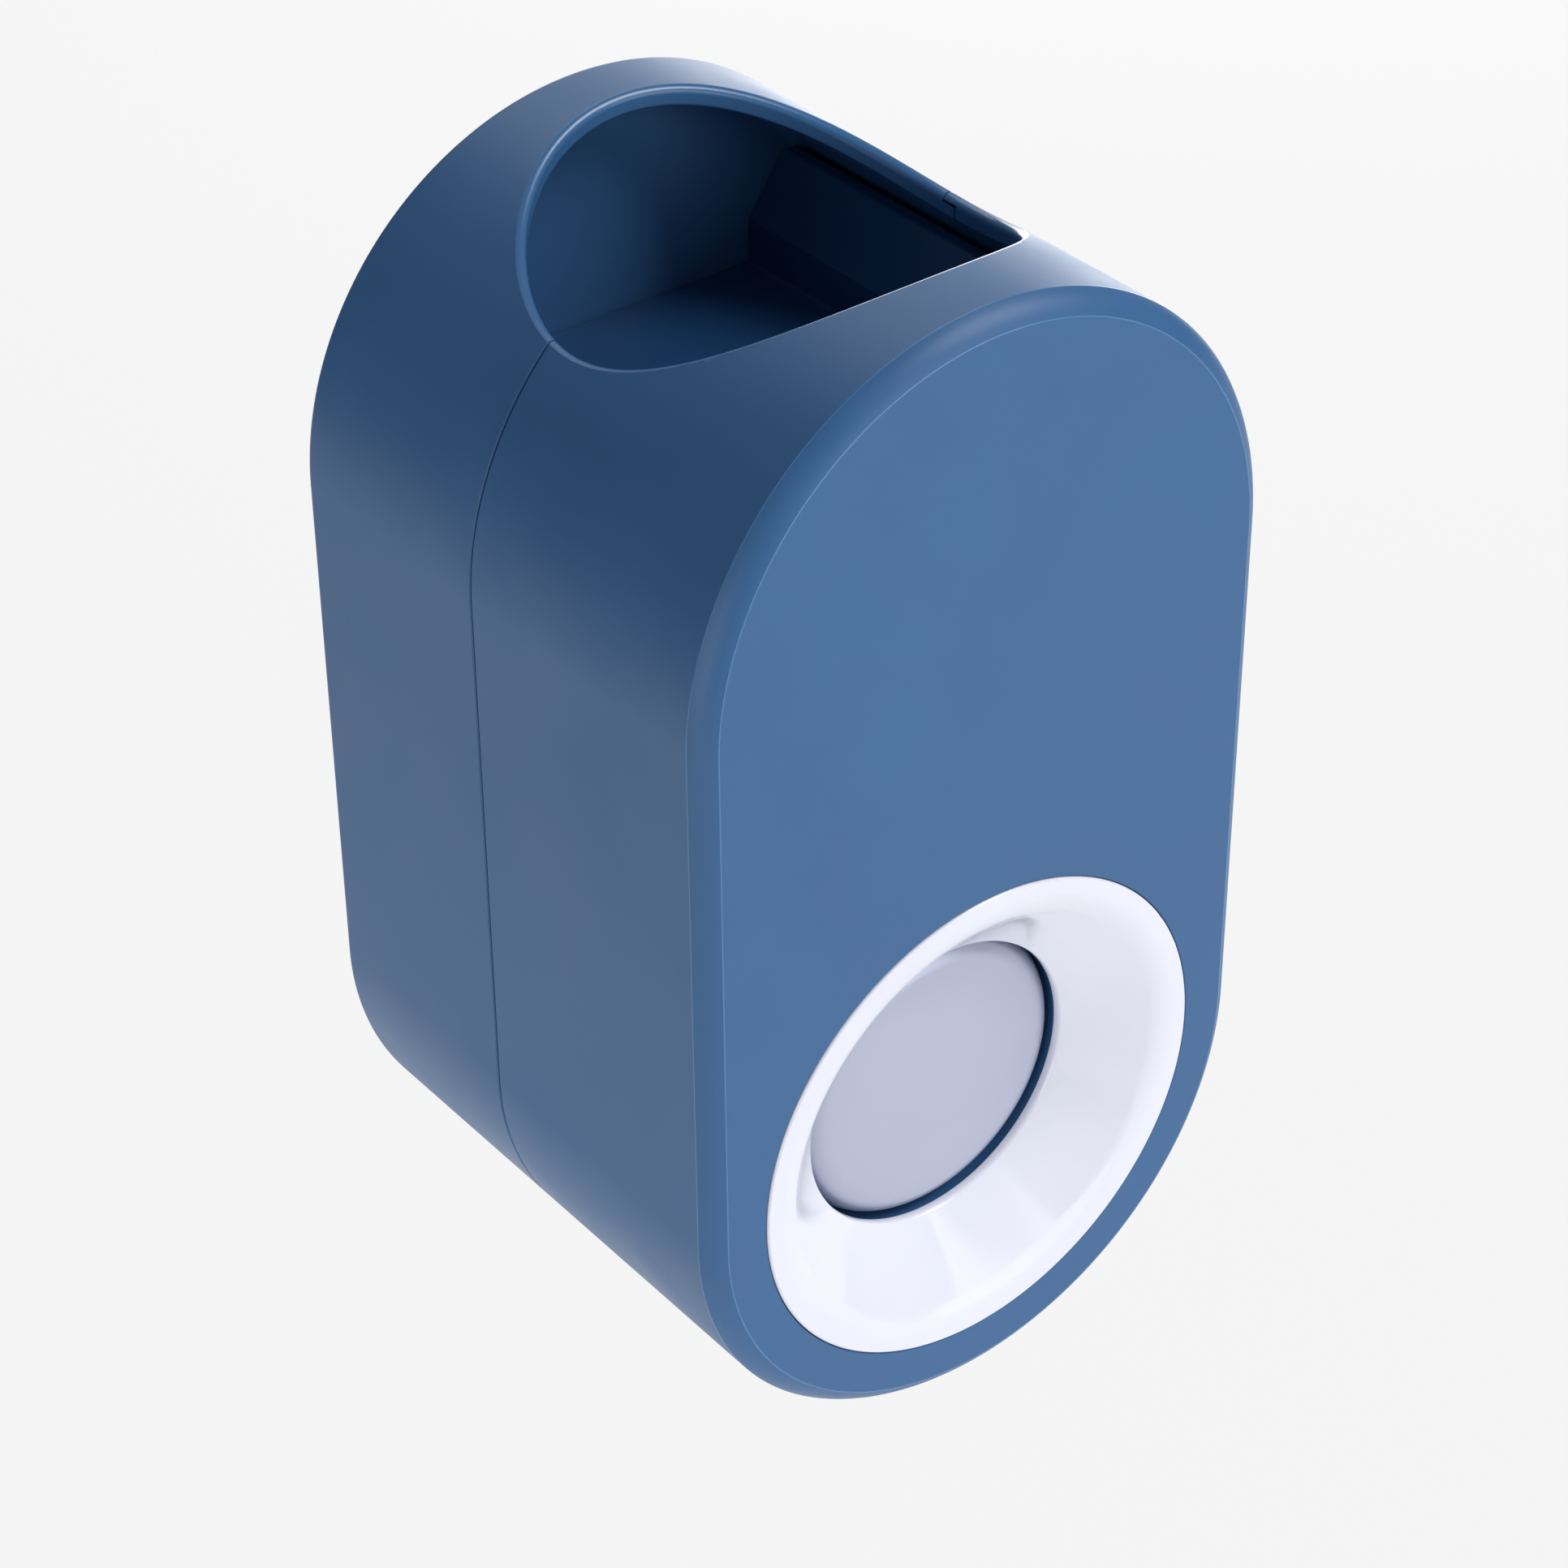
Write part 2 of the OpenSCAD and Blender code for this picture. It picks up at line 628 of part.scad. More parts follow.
// Steel axle of the rocker
module rocker_axle() {
    color("silver") placed() cross_bar(axle_r, -chassis_out - 0.75 * axle_r, chassis_out + 0.75 * axle_r,
        pivot_depth, pivot_z);
}

// Clips on the axle's two ends
module axle_clips() {
    clip_t = axle_r / 3;
    color("dimgray") placed() for (s = [-1, 1]) difference() {
        cross_bar(1.8 * axle_r, s > 0 ? chassis_out + seat_gap / 2 : -chassis_out - seat_gap / 2 - clip_t,
            s > 0 ? chassis_out + seat_gap / 2 + clip_t : -chassis_out - seat_gap / 2, pivot_depth, pivot_z);
        cross_bar(axle_r + run_fit / 2, s > 0 ? chassis_out - over : -chassis_out - clip_t - over,
            s > 0 ? chassis_out + clip_t + over : over - chassis_out, pivot_depth, pivot_z);
    }
}

// Pump body with its inlet boss above and its outlet spigot below
module pump_body() {
    color("ivory") placed() difference() {
        union() {
            bar(pump_out, pump_front, cap_front, 0, piston_z);
            post(port_out, piston_z, inlet_top, 0, port_depth);
            post(port_out - port_t / 2, spigot_low, piston_z, 0, port_depth);
        }
        bar(bore_r, chamber_front, cap_front + over, 0, piston_z);
        post(port_r, piston_z, inlet_top + over, 0, port_depth);
        post(port_r, spigot_low - over, piston_z, 0, port_depth);
        post(port_r + port_t / 2, inlet_top - valve_t - seat_gap, inlet_top + over, 0, port_depth);
    }
}

// Cap over the pump's rear end, which guides the piston rod
module pump_end_cap() {
    color("gainsboro") placed() difference() {
        bar(pump_out + end_cap_wall, cap_front - end_cap_skirt, cap_back, 0, piston_z);
        bar(pump_out + run_fit, cap_front - end_cap_skirt - over, cap_front, 0, piston_z);
        bar(rod_r + run_fit, cap_front - over, cap_back + over, 0, piston_z);
    }
}

// Piston with grooves for its two seals
module pump_piston() {
    color("gainsboro") placed() difference() {
        bar(bore_r - slide_gap, piston_front, piston_back, 0, piston_z);
        for (i = [1, 3])
            difference() {
                bar(bore_r, piston_front + i * ring_groove, piston_front + (i + 1) * ring_groove,
                    0, piston_z);
                bar(bore_r - ring_groove, piston_front, piston_back, 0, piston_z);
            }
        bar(rod_r / 2 + run_fit, piston_back - ring_groove * 4, piston_back + over, 0, piston_z);
    }
}

// Two silicone seals in the piston's grooves
module piston_seals() {
    color("dimgray") placed() for (i = [1, 3]) difference() {
        bar(seal_r, piston_front + i * ring_groove, piston_front + (i + 1) * ring_groove, 0, piston_z);
        bar(bore_r - ring_groove, piston_front, piston_back, 0, piston_z);
    }
}

// Piston rod with its crosshead boss
module piston_rod() {
    color("gainsboro") placed() difference() {
        union() {
            bar(rod_r / 2, piston_back - ring_groove * 3.5, piston_back + over, 0, piston_z);
            bar(rod_r, piston_back, cross_depth, 0, piston_z);
            bar(boss_r, cross_depth - boss_half, cross_depth + boss_half, 0, piston_z);
        }
        cross_bar(pin_r + run_fit / 2, -boss_r - over, boss_r + over, cross_depth, piston_z);
    }
}

// Steel pin through the crosshead, which runs in the rocker's upper slots
module crosshead_pin() {
    color("silver") placed() cross_bar(pin_r, -pin_reach, pin_reach, cross_depth, piston_z);
}

// Silicone disc that lets paste into the chamber
module inlet_valve() {
    color("mistyrose") placed()
        post(port_r + port_t / 2 - seat_gap, inlet_top - valve_t - seat_gap, inlet_top - seat_gap,
            0, port_depth);
}

// Duct from the tube's socket forward and down to the pump's inlet
module feed_duct() {
    color("ivory") placed() difference() {
        union() {
            bar(port_out, port_depth - port_out, opening_depth, 0, duct_z);
            post(port_out, inlet_top, duct_z, 0, port_depth);
            post(port_out + port_t, duct_z - port_out / 2, shelf_low, 0, opening_depth);
        }
        bar(port_r, port_depth - port_r, opening_depth, 0, duct_z);
        post(port_r, inlet_top - over, duct_z, 0, port_depth);
        post(port_r, duct_z, shelf_low + over, 0, opening_depth);
    }
}

// Silicone disc that holds the paste back between strokes
module outlet_valve() {
    color("mistyrose") placed()
        post(port_out - port_t / 2, spigot_low - seat_gap - valve_t, spigot_low - seat_gap, 0, port_depth);
}

// Pipe from the spigot down to the nozzle
module outlet_pipe() {
    shoulder = spigot_low - 2 * seat_gap - valve_t;
    color("ivory") placed() turned_up(port_depth) polygon([
        [port_r, pipe_low], [pipe_out, pipe_low], [pipe_out, spigot_low + spigot_len * 0.7],
        [port_out - port_t / 2 + seat_gap, spigot_low + spigot_len * 0.7],
        [port_out - port_t / 2 + seat_gap, shoulder], [port_r, shoulder]]);
}

// Silicone nozzle in the collar's ceiling
module outlet_nozzle() {
    color("mistyrose") placed() turned_up(port_depth) polygon([
        [nozzle_r, nozzle_low], [nozzle_out, nozzle_low], [nozzle_out, nozzle_seat],
        [port_out, nozzle_seat], [port_out, pipe_low], [nozzle_r, pipe_low]]);
}

// Tray that the tube stands in, with its flared sides
module tube_tray() {
    inner = [[tray_half_w, tray_floor], [tray_half_w, tray_floor + tray_side_h], [flare_x, flare_top]];
    outer = [[flare_x + tray_t, flare_top], [tray_half_w + tray_t, tray_floor + tray_side_h],
        [tray_half_w + tray_t, tray_low]];
    half = concat(inner, outer);
    color("midnightblue") placed() difference() {
        union() {
            translate([0, tray_back - body_d, 0]) rotate([90, 0, 0]) linear_extrude(tray_back - tray_front)
                union() {
                    for (s = [-1, 1])
                        polygon([for (p = half) [s * p[0], p[1]]]);
                    translate([-tray_half_w - over, tray_low]) square([2 * (tray_half_w + over), tray_t]);
                }
            translate([0, tray_front + tray_t - body_d, 0]) rotate([90, 0, 0]) linear_extrude(tray_t)
                polygon([[-tray_half_w - over, tray_low], [tray_half_w + over, tray_low],
                    [tray_half_w + over, tray_floor + tray_side_h], [flare_x + over, flare_top],
                    [-flare_x - over, flare_top], [-tray_half_w - over, tray_floor + tray_side_h]]);
            for (s = [-1, 1], d = [peg_front, peg_back])
                post(peg_r, tray_low - peg_len, tray_low + tray_t / 2, s * peg_x, d);
        }
        post(sleeve_r + run_fit, tray_low - over, tray_floor + over, 0, opening_depth);
    }
}

// Silicone socket that grips the tube's neck
module tube_socket() {
    color("lightsteelblue") placed() turned_up(opening_depth) polygon([
        [port_r, shelf_low], [sleeve_r, shelf_low], [sleeve_r, tray_floor], [socket_collar_r, tray_floor],
        [socket_collar_r, tray_floor + shelf_t], [sleeve_r + shelf_t, socket_top],
        [socket_r + lead_len, socket_top], [socket_r, neck_high], [socket_r, neck_low], [port_r, neck_low]]);
}

// Four screws that hold the chassis to the front shell
module chassis_screws() {
    color("silver") placed() for (p = TAB_PLACES)
        screw(p[0], p[1], chassis_front + chassis_t, chassis_screw_len);
}

// Five screws that hold the two shells together
module case_screws() {
    color("silver") placed() for (p = CASE_PLACES)
        screw(p[0], p[1], seam_depth + case_web, case_screw_len);
}

// Plate that stays on the wall, with the head that the casing hooks onto
module wall_plate() {
    color("lightgray") placed() union() {
        block(-plate_w / 2, plate_w / 2, head_face, plate_face, plate_low, plate_top);
        block(-head_half_w, head_half_w, head_front, head_face, plate_top - head_h, plate_top);
    }
}

// Adhesive foam pad on the plate's back
module adhesive_pad() {
    color("white") placed() block(-plate_w / 2, plate_w / 2, plate_face, body_d, plate_low, plate_top);
}

front_shell();
rear_shell();
funnel_ring();
push_cap();
pusher_carriage();
guide_stem();
return_spring();
chassis();
rocker_lever();
rocker_axle();
axle_clips();
pump_body();
pump_end_cap();
pump_piston();
piston_seals();
piston_rod();
crosshead_pin();
inlet_valve();
feed_duct();
outlet_valve();
outlet_pipe();
outlet_nozzle();
tube_tray();
tube_socket();
chassis_screws();
case_screws();
wall_plate();
adhesive_pad();
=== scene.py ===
import json
import math
import bmesh
import bpy
from mathutils import Matrix, Vector


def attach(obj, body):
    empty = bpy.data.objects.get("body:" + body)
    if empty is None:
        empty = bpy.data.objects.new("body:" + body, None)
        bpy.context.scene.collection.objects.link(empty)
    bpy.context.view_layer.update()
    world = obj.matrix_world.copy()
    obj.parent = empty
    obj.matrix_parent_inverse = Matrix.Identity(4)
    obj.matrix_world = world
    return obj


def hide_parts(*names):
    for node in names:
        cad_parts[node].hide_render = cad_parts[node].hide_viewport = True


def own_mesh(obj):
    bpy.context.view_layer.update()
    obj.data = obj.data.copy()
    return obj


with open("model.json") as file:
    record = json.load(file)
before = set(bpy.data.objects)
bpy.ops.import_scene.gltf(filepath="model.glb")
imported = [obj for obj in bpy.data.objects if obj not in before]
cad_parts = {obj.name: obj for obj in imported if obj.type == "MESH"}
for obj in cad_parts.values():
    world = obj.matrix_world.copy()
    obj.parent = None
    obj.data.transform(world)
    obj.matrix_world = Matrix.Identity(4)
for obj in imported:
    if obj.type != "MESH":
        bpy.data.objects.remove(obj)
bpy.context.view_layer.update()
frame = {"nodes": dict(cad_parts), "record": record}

# Wall-hung toothpaste dispenser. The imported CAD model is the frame, and what shows is finished here.
# Sizes are in millimetres from the wall mount's origin: X across, -Y to the front, Z up.
# finishPiece turns them to metres.

mm = 0.001
across, alongDepth, upwards = Vector((1, 0, 0)), Vector((0, 1, 0)), Vector((0, 0, 1))


# small tools for meshes

def newVerts(geom):
    return [g for g in geom if isinstance(g, bmesh.types.BMVert)]


def loopThrough(verts):
    # the edges that join a fresh ring of points to each other
    fresh = set(verts)
    return list({e for v in verts for e in v.link_edges if e.other_vert(v) in fresh})


def tidyMesh(bm, weld=0.002):
    bmesh.ops.remove_doubles(bm, verts=bm.verts, dist=weld)
    bmesh.ops.dissolve_degenerate(bm, edges=bm.edges, dist=weld)
    bmesh.ops.recalc_face_normals(bm, faces=bm.faces)


def turned(profile, centre, axis=alongDepth, steps=192, closed=True):
    # a closed outline of (radius, station) points spun round an axis; a point on the axis closes a pole
    bm = bmesh.new()
    verts = [bm.verts.new(Vector(centre) + across * r + axis * s) for r, s in profile]
    count = len(verts)
    edges = [bm.edges.new((verts[i], verts[(i + 1) % count]))
             for i in range(count if closed else count - 1)]
    bmesh.ops.spin(bm, geom=verts + edges, cent=centre, axis=axis, angle=math.tau, steps=steps,
                   use_merge=True)
    tidyMesh(bm)
    return bm


def rod(radius, start, end, centre, axis=alongDepth, steps=96):
    return turned([(0, start), (radius, start), (radius, end), (0, end)], centre, axis, steps, closed=False)


def blockMesh(low, high, corner=0, segments=5):
    # a block; its four edges along the depth may be rounded
    bm = bmesh.new()
    bmesh.ops.create_cube(bm, size=1)
    low, high = Vector(low), Vector(high)
    bmesh.ops.scale(bm, vec=high - low, verts=bm.verts)
    bmesh.ops.translate(bm, vec=(low + high) / 2, verts=bm.verts)
    if corner:
        edges = [e for e in bm.edges
                 if abs((e.verts[0].co - e.verts[1].co).normalized().dot(alongDepth)) > 0.99]
        bmesh.ops.bevel(bm, geom=edges, offset=corner, offset_type="OFFSET", affect="EDGES",
                        segments=segments, profile=0.5, material=-1)
    return bm


def arcPoints(centre, radius, first, last, steps):
    return [(centre[0] + radius * math.cos(math.radians(first + (last - first) * i / steps)),
             centre[1] + radius * math.sin(math.radians(first + (last - first) * i / steps)))
            for i in range(steps + 1)]


def meshObject(bm, name):
    mesh = bpy.data.meshes.new(name)
    bm.to_mesh(mesh)
    bm.free()
    made = bpy.data.objects.new(name, mesh)
    bpy.context.scene.collection.objects.link(made)
    return made


def combine(bm, others, operation, weld=0.0005):
    # joins or cuts a mesh with others through Boolean modifiers, and gives back the finished mesh
    body = meshObject(bm, "work")
    tools = []
    for other in others:
        tool = meshObject(other, "tool")
        step = body.modifiers.new("step", "BOOLEAN")
        step.operation = operation
        step.solver = "EXACT"
        step.object = tool
        tools.append(tool)
    graph = bpy.context.evaluated_depsgraph_get()
    done = bmesh.new()
    done.from_mesh(body.evaluated_get(graph).to_mesh())
    for used in tools + [body]:
        data = used.data
        bpy.data.objects.remove(used)
        bpy.data.meshes.remove(data)
    bmesh.ops.remove_doubles(done, verts=done.verts, dist=weld)
    bmesh.ops.dissolve_degenerate(done, edges=done.edges, dist=weld)
    return done


def near(one, other, within=0.01):
    return abs(one - other) < within


def softenEdges(bm, width, segments, where, sharper=25):
    # rounds the sharp edges whose two ends pass a test, and says how many they are
    chosen = [e for e in bm.edges if len(e.link_faces) == 2
              and math.degrees(e.calc_face_angle(0)) > sharper
              and where(e.verts[0].co) and where(e.verts[1].co)]
    bmesh.ops.bevel(bm, geom=chosen, offset=width, offset_type="OFFSET", affect="EDGES", segments=segments,
                    profile=0.5, material=-1, clamp_overlap=False, loop_slide=True)
    return len(chosen)


def closeGaps(bm, shortest=0.01, smallest=0.001, mostSides=12):
    # the slivers that a cut can leave go, and the few-sided gaps beside them are filled
    crowded = [e for e in bm.edges if len(e.link_faces) > 2]
    bmesh.ops.delete(bm, geom=[e for e in crowded if e.calc_length() < shortest], context="EDGES")
    flaps = {f for e in crowded if e.is_valid for f in e.link_faces if f.calc_area() < smallest}
    bmesh.ops.delete(bm, geom=list(flaps), context="FACES")
    bmesh.ops.delete(bm, geom=[v for v in bm.verts if not v.link_faces], context="VERTS")
    bmesh.ops.holes_fill(bm, edges=[e for e in bm.edges if e.is_boundary], sides=mostSides)


def finishPiece(bm, name, body, nodes, slot, sharp=30):
    closeGaps(bm)
    bmesh.ops.recalc_face_normals(bm, faces=bm.faces)
    bmesh.ops.scale(bm, vec=(mm, mm, mm), verts=bm.verts)
    piece = meshObject(bm, name)
    piece.data.materials.append(surfaces[slot])
    piece.data.polygons.foreach_set("use_smooth", [True] * len(piece.data.polygons))
    piece.data.set_sharp_from_angle(angle=math.radians(sharp))
    weighted = piece.modifiers.new("normals", "WEIGHTED_NORMAL")
    weighted.keep_sharp = True
    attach(piece, body)
    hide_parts(*nodes)
    return piece


# materials

def linearColour(code):
    # sRGB hex to linear
    parts = [int(code[i:i + 2], 16) / 255 for i in (1, 3, 5)]
    return tuple(c / 12.92 if c <= 0.04045 else ((c + 0.055) / 1.055) ** 2.4 for c in parts) + (1.0,)


def addNode(tree, kind, inputs=None, **settings):
    made = tree.nodes.new("ShaderNode" + kind)
    for key, value in settings.items():
        setattr(made, key, value)
    for key, value in (inputs or {}).items():
        if isinstance(value, bpy.types.NodeSocket):
            tree.links.new(value, made.inputs[key])
        else:
            made.inputs[key].default_value = value
    return made


def surface(name, colour, deeper, roughness, grain, height, patch=18, spread=0.05, **constants):
    # grain is the texture's size in mm, height its bump in mm, patch the size in mm of the slow changes
    material = bpy.data.materials.new(name)
    material.use_nodes = True
    tree = material.node_tree
    tree.nodes.clear()
    place = addNode(tree, "TexCoord").outputs["Object"]
    slow = addNode(tree, "TexNoise", {"Vector": place, "Scale": 1 / (patch * mm), "Detail": 3.0})
    fine = addNode(tree, "TexNoise", {"Vector": place, "Scale": 1 / (grain * mm), "Detail": 2.0,
                                      "Roughness": 0.6})
    tint = addNode(tree, "ValToRGB", {"Fac": slow.outputs["Fac"]})
    tint.color_ramp.elements[0].position = 0.3
    tint.color_ramp.elements[1].position = 0.7
    tint.color_ramp.elements[0].color = linearColour(deeper)
    tint.color_ramp.elements[1].color = linearColour(colour)
    rough = addNode(tree, "MapRange", {"Value": slow.outputs["Fac"], "From Min": 0.3, "From Max": 0.7,
                                       "To Min": roughness - spread, "To Max": roughness + spread})
    bump = addNode(tree, "Bump", {"Height": fine.outputs["Fac"], "Strength": 1.0, "Distance": height * mm})
    shader = addNode(tree, "BsdfPrincipled", {"Base Color": tint.outputs["Color"],
                                              "Roughness": rough.outputs["Result"],
                                              "Normal": bump.outputs["Normal"], **constants})
    addNode(tree, "OutputMaterial", {"Surface": shader.outputs["BSDF"]})
    return material


# ABS moulded in a lightly spark-eroded tool: deep colour under a wide, soft satin haze
blueAbs = surface("satin moulded blue ABS", "#396695", "#376391", 0.42, 0.22, 0.0022, IOR=1.45,
                  **{"Specular IOR Level": 0.42})
# the same ABS where the tool's edge is polished, with a lighter colour that is a painted highlight: a fine
# bright line along the edge
edgeHighlightAbs = surface("polished blue ABS edge with painted highlight", "#4C7FAE", "#497BA9", 0.16, 0.5, 0.001, IOR=1.5)
# the same ABS rubbed smooth by the tube along the opening's lip, so the sheen gathers into brighter streaks;
# its lighter colour is painted sheen
lipSheenAbs = surface("smooth blue ABS lip with painted sheen", "#3E6D9B", "#3B6A97", 0.24, 0.5, 0.001, IOR=1.5)
# the same ABS, darkened for the tray as painted shade, for the tray stands in the shadow of the opening
shadedNavyAbs = surface("satin blue ABS darkened as painted shade", "#234C7A", "#214974", 0.36, 0.22, 0.002, IOR=1.45)
# ABS from a polished tool: milk white, with clear highlights
whiteAbs = surface("polished white ABS", "#EBECF5", "#E8E9F2", 0.12, 1.6, 0.0016, IOR=1.5)
# ABS with a thin coat of silver lacquer: pale grey with a soft metallic sheen
silverAbs = surface("silver lacquered ABS", "#BCC1D4", "#B8BDD1", 0.34, 0.12, 0.0012,
                    Metallic=0.4)
# acetal, natural white: waxy, slightly translucent
acetal = surface("natural white acetal", "#E4E3DE", "#DEDDD7", 0.38, 0.5, 0.002, IOR=1.48,
                 **{"Subsurface Weight": 0.15, "Subsurface Radius": (0.001, 0.001, 0.001)})
# polypropylene, unfilled: milky and half clear
clearPp = surface("milky polypropylene", "#DDE3E8", "#D6DDE3", 0.3, 0.8, 0.002, IOR=1.49,
                  **{"Transmission Weight": 0.45})
# cold-drawn steel: grey metal with fine drawing marks
drawnSteel = surface("drawn steel wire and bar", "#A9A9AD", "#96969B", 0.28, 0.08, 0.0012, Metallic=1.0)
# moulded silicone: dull, rubbery, slightly dusty
siliconeRubber = surface("moulded silicone rubber", "#7C8CA6", "#74839C", 0.62, 0.3, 0.004, IOR=1.41)
# closed-cell acrylic foam tape: matt white with open pores at the cut edges
foamTape = surface("closed-cell foam tape", "#E9E9E6", "#DCDCD8", 0.85, 0.35, 0.03, IOR=1.4)
surfaces = {"blue_abs": blueAbs, "navy_abs": shadedNavyAbs, "white_abs": whiteAbs, "silver_abs": silverAbs,
            "white_pom": acetal, "clear_pp": clearPp, "steel": drawnSteel, "silicone": siliconeRubber,
            "foam": foamTape}

for part in frame["record"]["subparts"]:
    node = frame["nodes"][part["node"]]
    node.data.materials.clear()
    node.data.materials.append(surfaces[part["material_slot"]])
print("materials: every CAD node has its own surface")


# casing

casing = {
    "halfWidth": 39.5, "lowCentre": -45.5, "highCentre": 20.5, "front": -74.0, "seam": -33.0, "back": -0.4,
    "wall": 2.4, "bevel": 2.5, "bevelTurns": (0, 26, 64, 90), "bevelEdge": 0.35, "bevelSteps": (4, 6, 4),
    "seamGap": 0.25, "lap": 2.0, "seamRound": 0.15, "backRound": 1.0, "innerRound": 1.5,
    "openingRadius": 26.7, "openingY": -36.0, "lipRound": 0.95, "lipUnder": 0.4, "lipSteps": 8,
    "lipSections": 288, "lipCutLow": 38.5, "lipCutHigh": 65.5, "overshoot": 0.012, "bay": 2.9, "steps": 110,
    "seamCutBack": 5, "seamCutFront": -80, "sharp": 17,
}
frontY, seamY, backY, wall = casing["front"], casing["seam"], casing["back"], casing["wall"]
lap, gap, seamRound = casing["lap"], casing["seamGap"], casing["seamRound"]
ringCentre = (0, 0, casing["lowCentre"])
openingCentre = (0, casing["openingY"], 0)


def awayFromCore(co):
    # distance of a point from the line between the centres of the casing's two arcs
    return math.hypot(co.x, co.z - min(max(co.z, casing["lowCentre"]), casing["highCentre"]))


def outlineLoop(bm, inset, depth):
    reach = casing["halfWidth"] - inset
    first = bm.verts.new((reach, depth, casing["lowCentre"]))
    low = bmesh.ops.spin(bm, geom=[first], cent=(0, depth, casing["lowCentre"]), axis=alongDepth,
                         angle=math.pi, steps=casing["steps"])
    rise = bmesh.ops.extrude_vert_indiv(bm, verts=newVerts(low["geom_last"]))["verts"]
    bmesh.ops.translate(bm, vec=(0, 0, casing["highCentre"] - casing["lowCentre"]), verts=rise)
    high = bmesh.ops.spin(bm, geom=rise, cent=(0, depth, casing["highCentre"]), axis=alongDepth,
                          angle=math.pi, steps=casing["steps"])
    bm.edges.new((newVerts(high["geom_last"])[0], first))
    return list(bm.edges)


def followOutline(bm, loop, stations):
    # extrudes the loop through (inset, depth) stations and closes the last one with a face
    for inset, depth in stations:
        grown = newVerts(bmesh.ops.extrude_edge_only(bm, edges=loop)["geom"])
        for vert in grown:
            core = Vector((0, vert.co.y, min(max(vert.co.z, casing["lowCentre"]), casing["highCentre"])))
            vert.co = core + (vert.co - core).normalized() * (casing["halfWidth"] - inset)
            vert.co.y = depth
        loop = loopThrough(grown)
    bmesh.ops.contextual_create(bm, geom=loop)


def roundedBox(start, outward, inward):
    # a solid with the casing's outline, grown from one loop towards its two ends
    bm = bmesh.new()
    loop = outlineLoop(bm, *start)
    followOutline(bm, loop, outward)
    followOutline(bm, loop, inward)
    bmesh.ops.recalc_face_normals(bm, faces=bm.faces)
    return bm


def bays(inset, first, last):
    # even stations along a straight wall, so that a cut through it leaves short faces
    count = max(1, round(abs(last - first) / casing["bay"]))
    return [(inset, first + (last - first) * i / count) for i in range(1, count + 1)]


def lipPath(turn):
    # the cut's outline at one angle round the opening: rounded under the wall, upright, rounded over it
    aside = casing["openingRadius"] * math.cos(turn)
    path = []
    for inset, corner, side in ((casing["wall"], casing["lipUnder"], -1), (0, casing["lipRound"], 1)):
        rise = math.sqrt((casing["halfWidth"] - inset) ** 2 - aside ** 2)
        tilt = math.atan(-aside / rise * math.cos(turn))
        middle = (casing["openingRadius"] + corner, casing["highCentre"] + rise + math.tan(tilt) * corner
                  - side * (corner - casing["overshoot"]) / math.cos(tilt))
        ends = (270 + math.degrees(tilt), 180) if side < 0 else (180, 90 + math.degrees(tilt))
        path += arcPoints(middle, corner, *ends, casing["lipSteps"])
    return [(path[0][0], casing["lipCutLow"])] + path + [(path[-1][0], casing["lipCutHigh"])]


def placeOnLip(verts, station):
    for vert in verts:
        way = Vector((vert.co.x, vert.co.y, 0)).normalized()
        radius, height = lipPath(math.atan2(way.y, way.x))[station]
        vert.co = way * radius + upwards * height


def lipCutter():
    bm = bmesh.new()
    bmesh.ops.create_circle(bm, segments=casing["lipSections"], radius=casing["openingRadius"])
    placeOnLip(bm.verts, 0)
    loop = list(bm.edges)
    bmesh.ops.contextual_create(bm, geom=loop)
    for station in range(1, len(lipPath(0))):
        grown = newVerts(bmesh.ops.extrude_edge_only(bm, edges=loop)["geom"])
        placeOnLip(grown, station)
        loop = loopThrough(grown)
    bmesh.ops.contextual_create(bm, geom=loop)
    bmesh.ops.translate(bm, vec=openingCentre, verts=bm.verts)
    bmesh.ops.recalc_face_normals(bm, faces=bm.faces)
    return bm


def bevelProfile():
    # a gently crowned chamfer between two small rounded edges, from the side to the front face
    turns = [math.radians(a) for a in casing["bevelTurns"]]
    small = casing["bevelEdge"]
    large = ((casing["bevel"] - small * (1 - math.cos(turns[1]) + math.cos(turns[2])))
             / (math.cos(turns[1]) - math.cos(turns[2])))
    path = [(0, 0)]
    for first, last, radius, steps in zip(casing["bevelTurns"], casing["bevelTurns"][1:],
                                          (small, large, small), casing["bevelSteps"]):
        arc = arcPoints((0, 0), radius, first, last, steps)
        at = path[-1]
        path += [(at[0] + arc[0][0] - r, at[1] + s - arc[0][1]) for r, s in arc[1:]]
    return [(inset, frontY + path[-1][1] - rise) for inset, rise in path]


def wallTo(inset, last, corner, steps):
    # a straight wall from the seam to a station, then a quarter round outwards along the depth
    side = 1 if last > seamY else -1
    quarter = [(inset + corner - r, last + side * (s - corner))
               for r, s in arcPoints((0, 0), corner, 0, 90, steps)]
    return bays(inset, seamY, last - side * corner) + quarter[1:]


# both shells come from one hollow body, so that the lip runs through the seam without a break
bevelArc = bevelProfile()
outside = roundedBox((0, seamY), bays(0, seamY, bevelArc[0][1]) + bevelArc[1:],
                     wallTo(0, backY, casing["backRound"], 8))
hollow = roundedBox((wall, seamY), wallTo(wall, frontY + wall, casing["innerRound"], 5),
                    wallTo(wall, backY - wall, casing["innerRound"], 5))
bodyMesh = combine(outside, [hollow, lipCutter()], "DIFFERENCE")
print("casing: hollow body with its opening")

# stepped cutters leave the two halves of the lap joint, each with a small chamfer at the outside
past = 1  # how far a cutter reaches past what it cuts


def seamCutter(inset, at, side, last):
    chamfer = [(seamRound, at), (0, at + side * seamRound), (-past, at + side * (seamRound + past))]
    return roundedBox((inset, at), chamfer + [(-past, last)], [(inset, at - lap)])


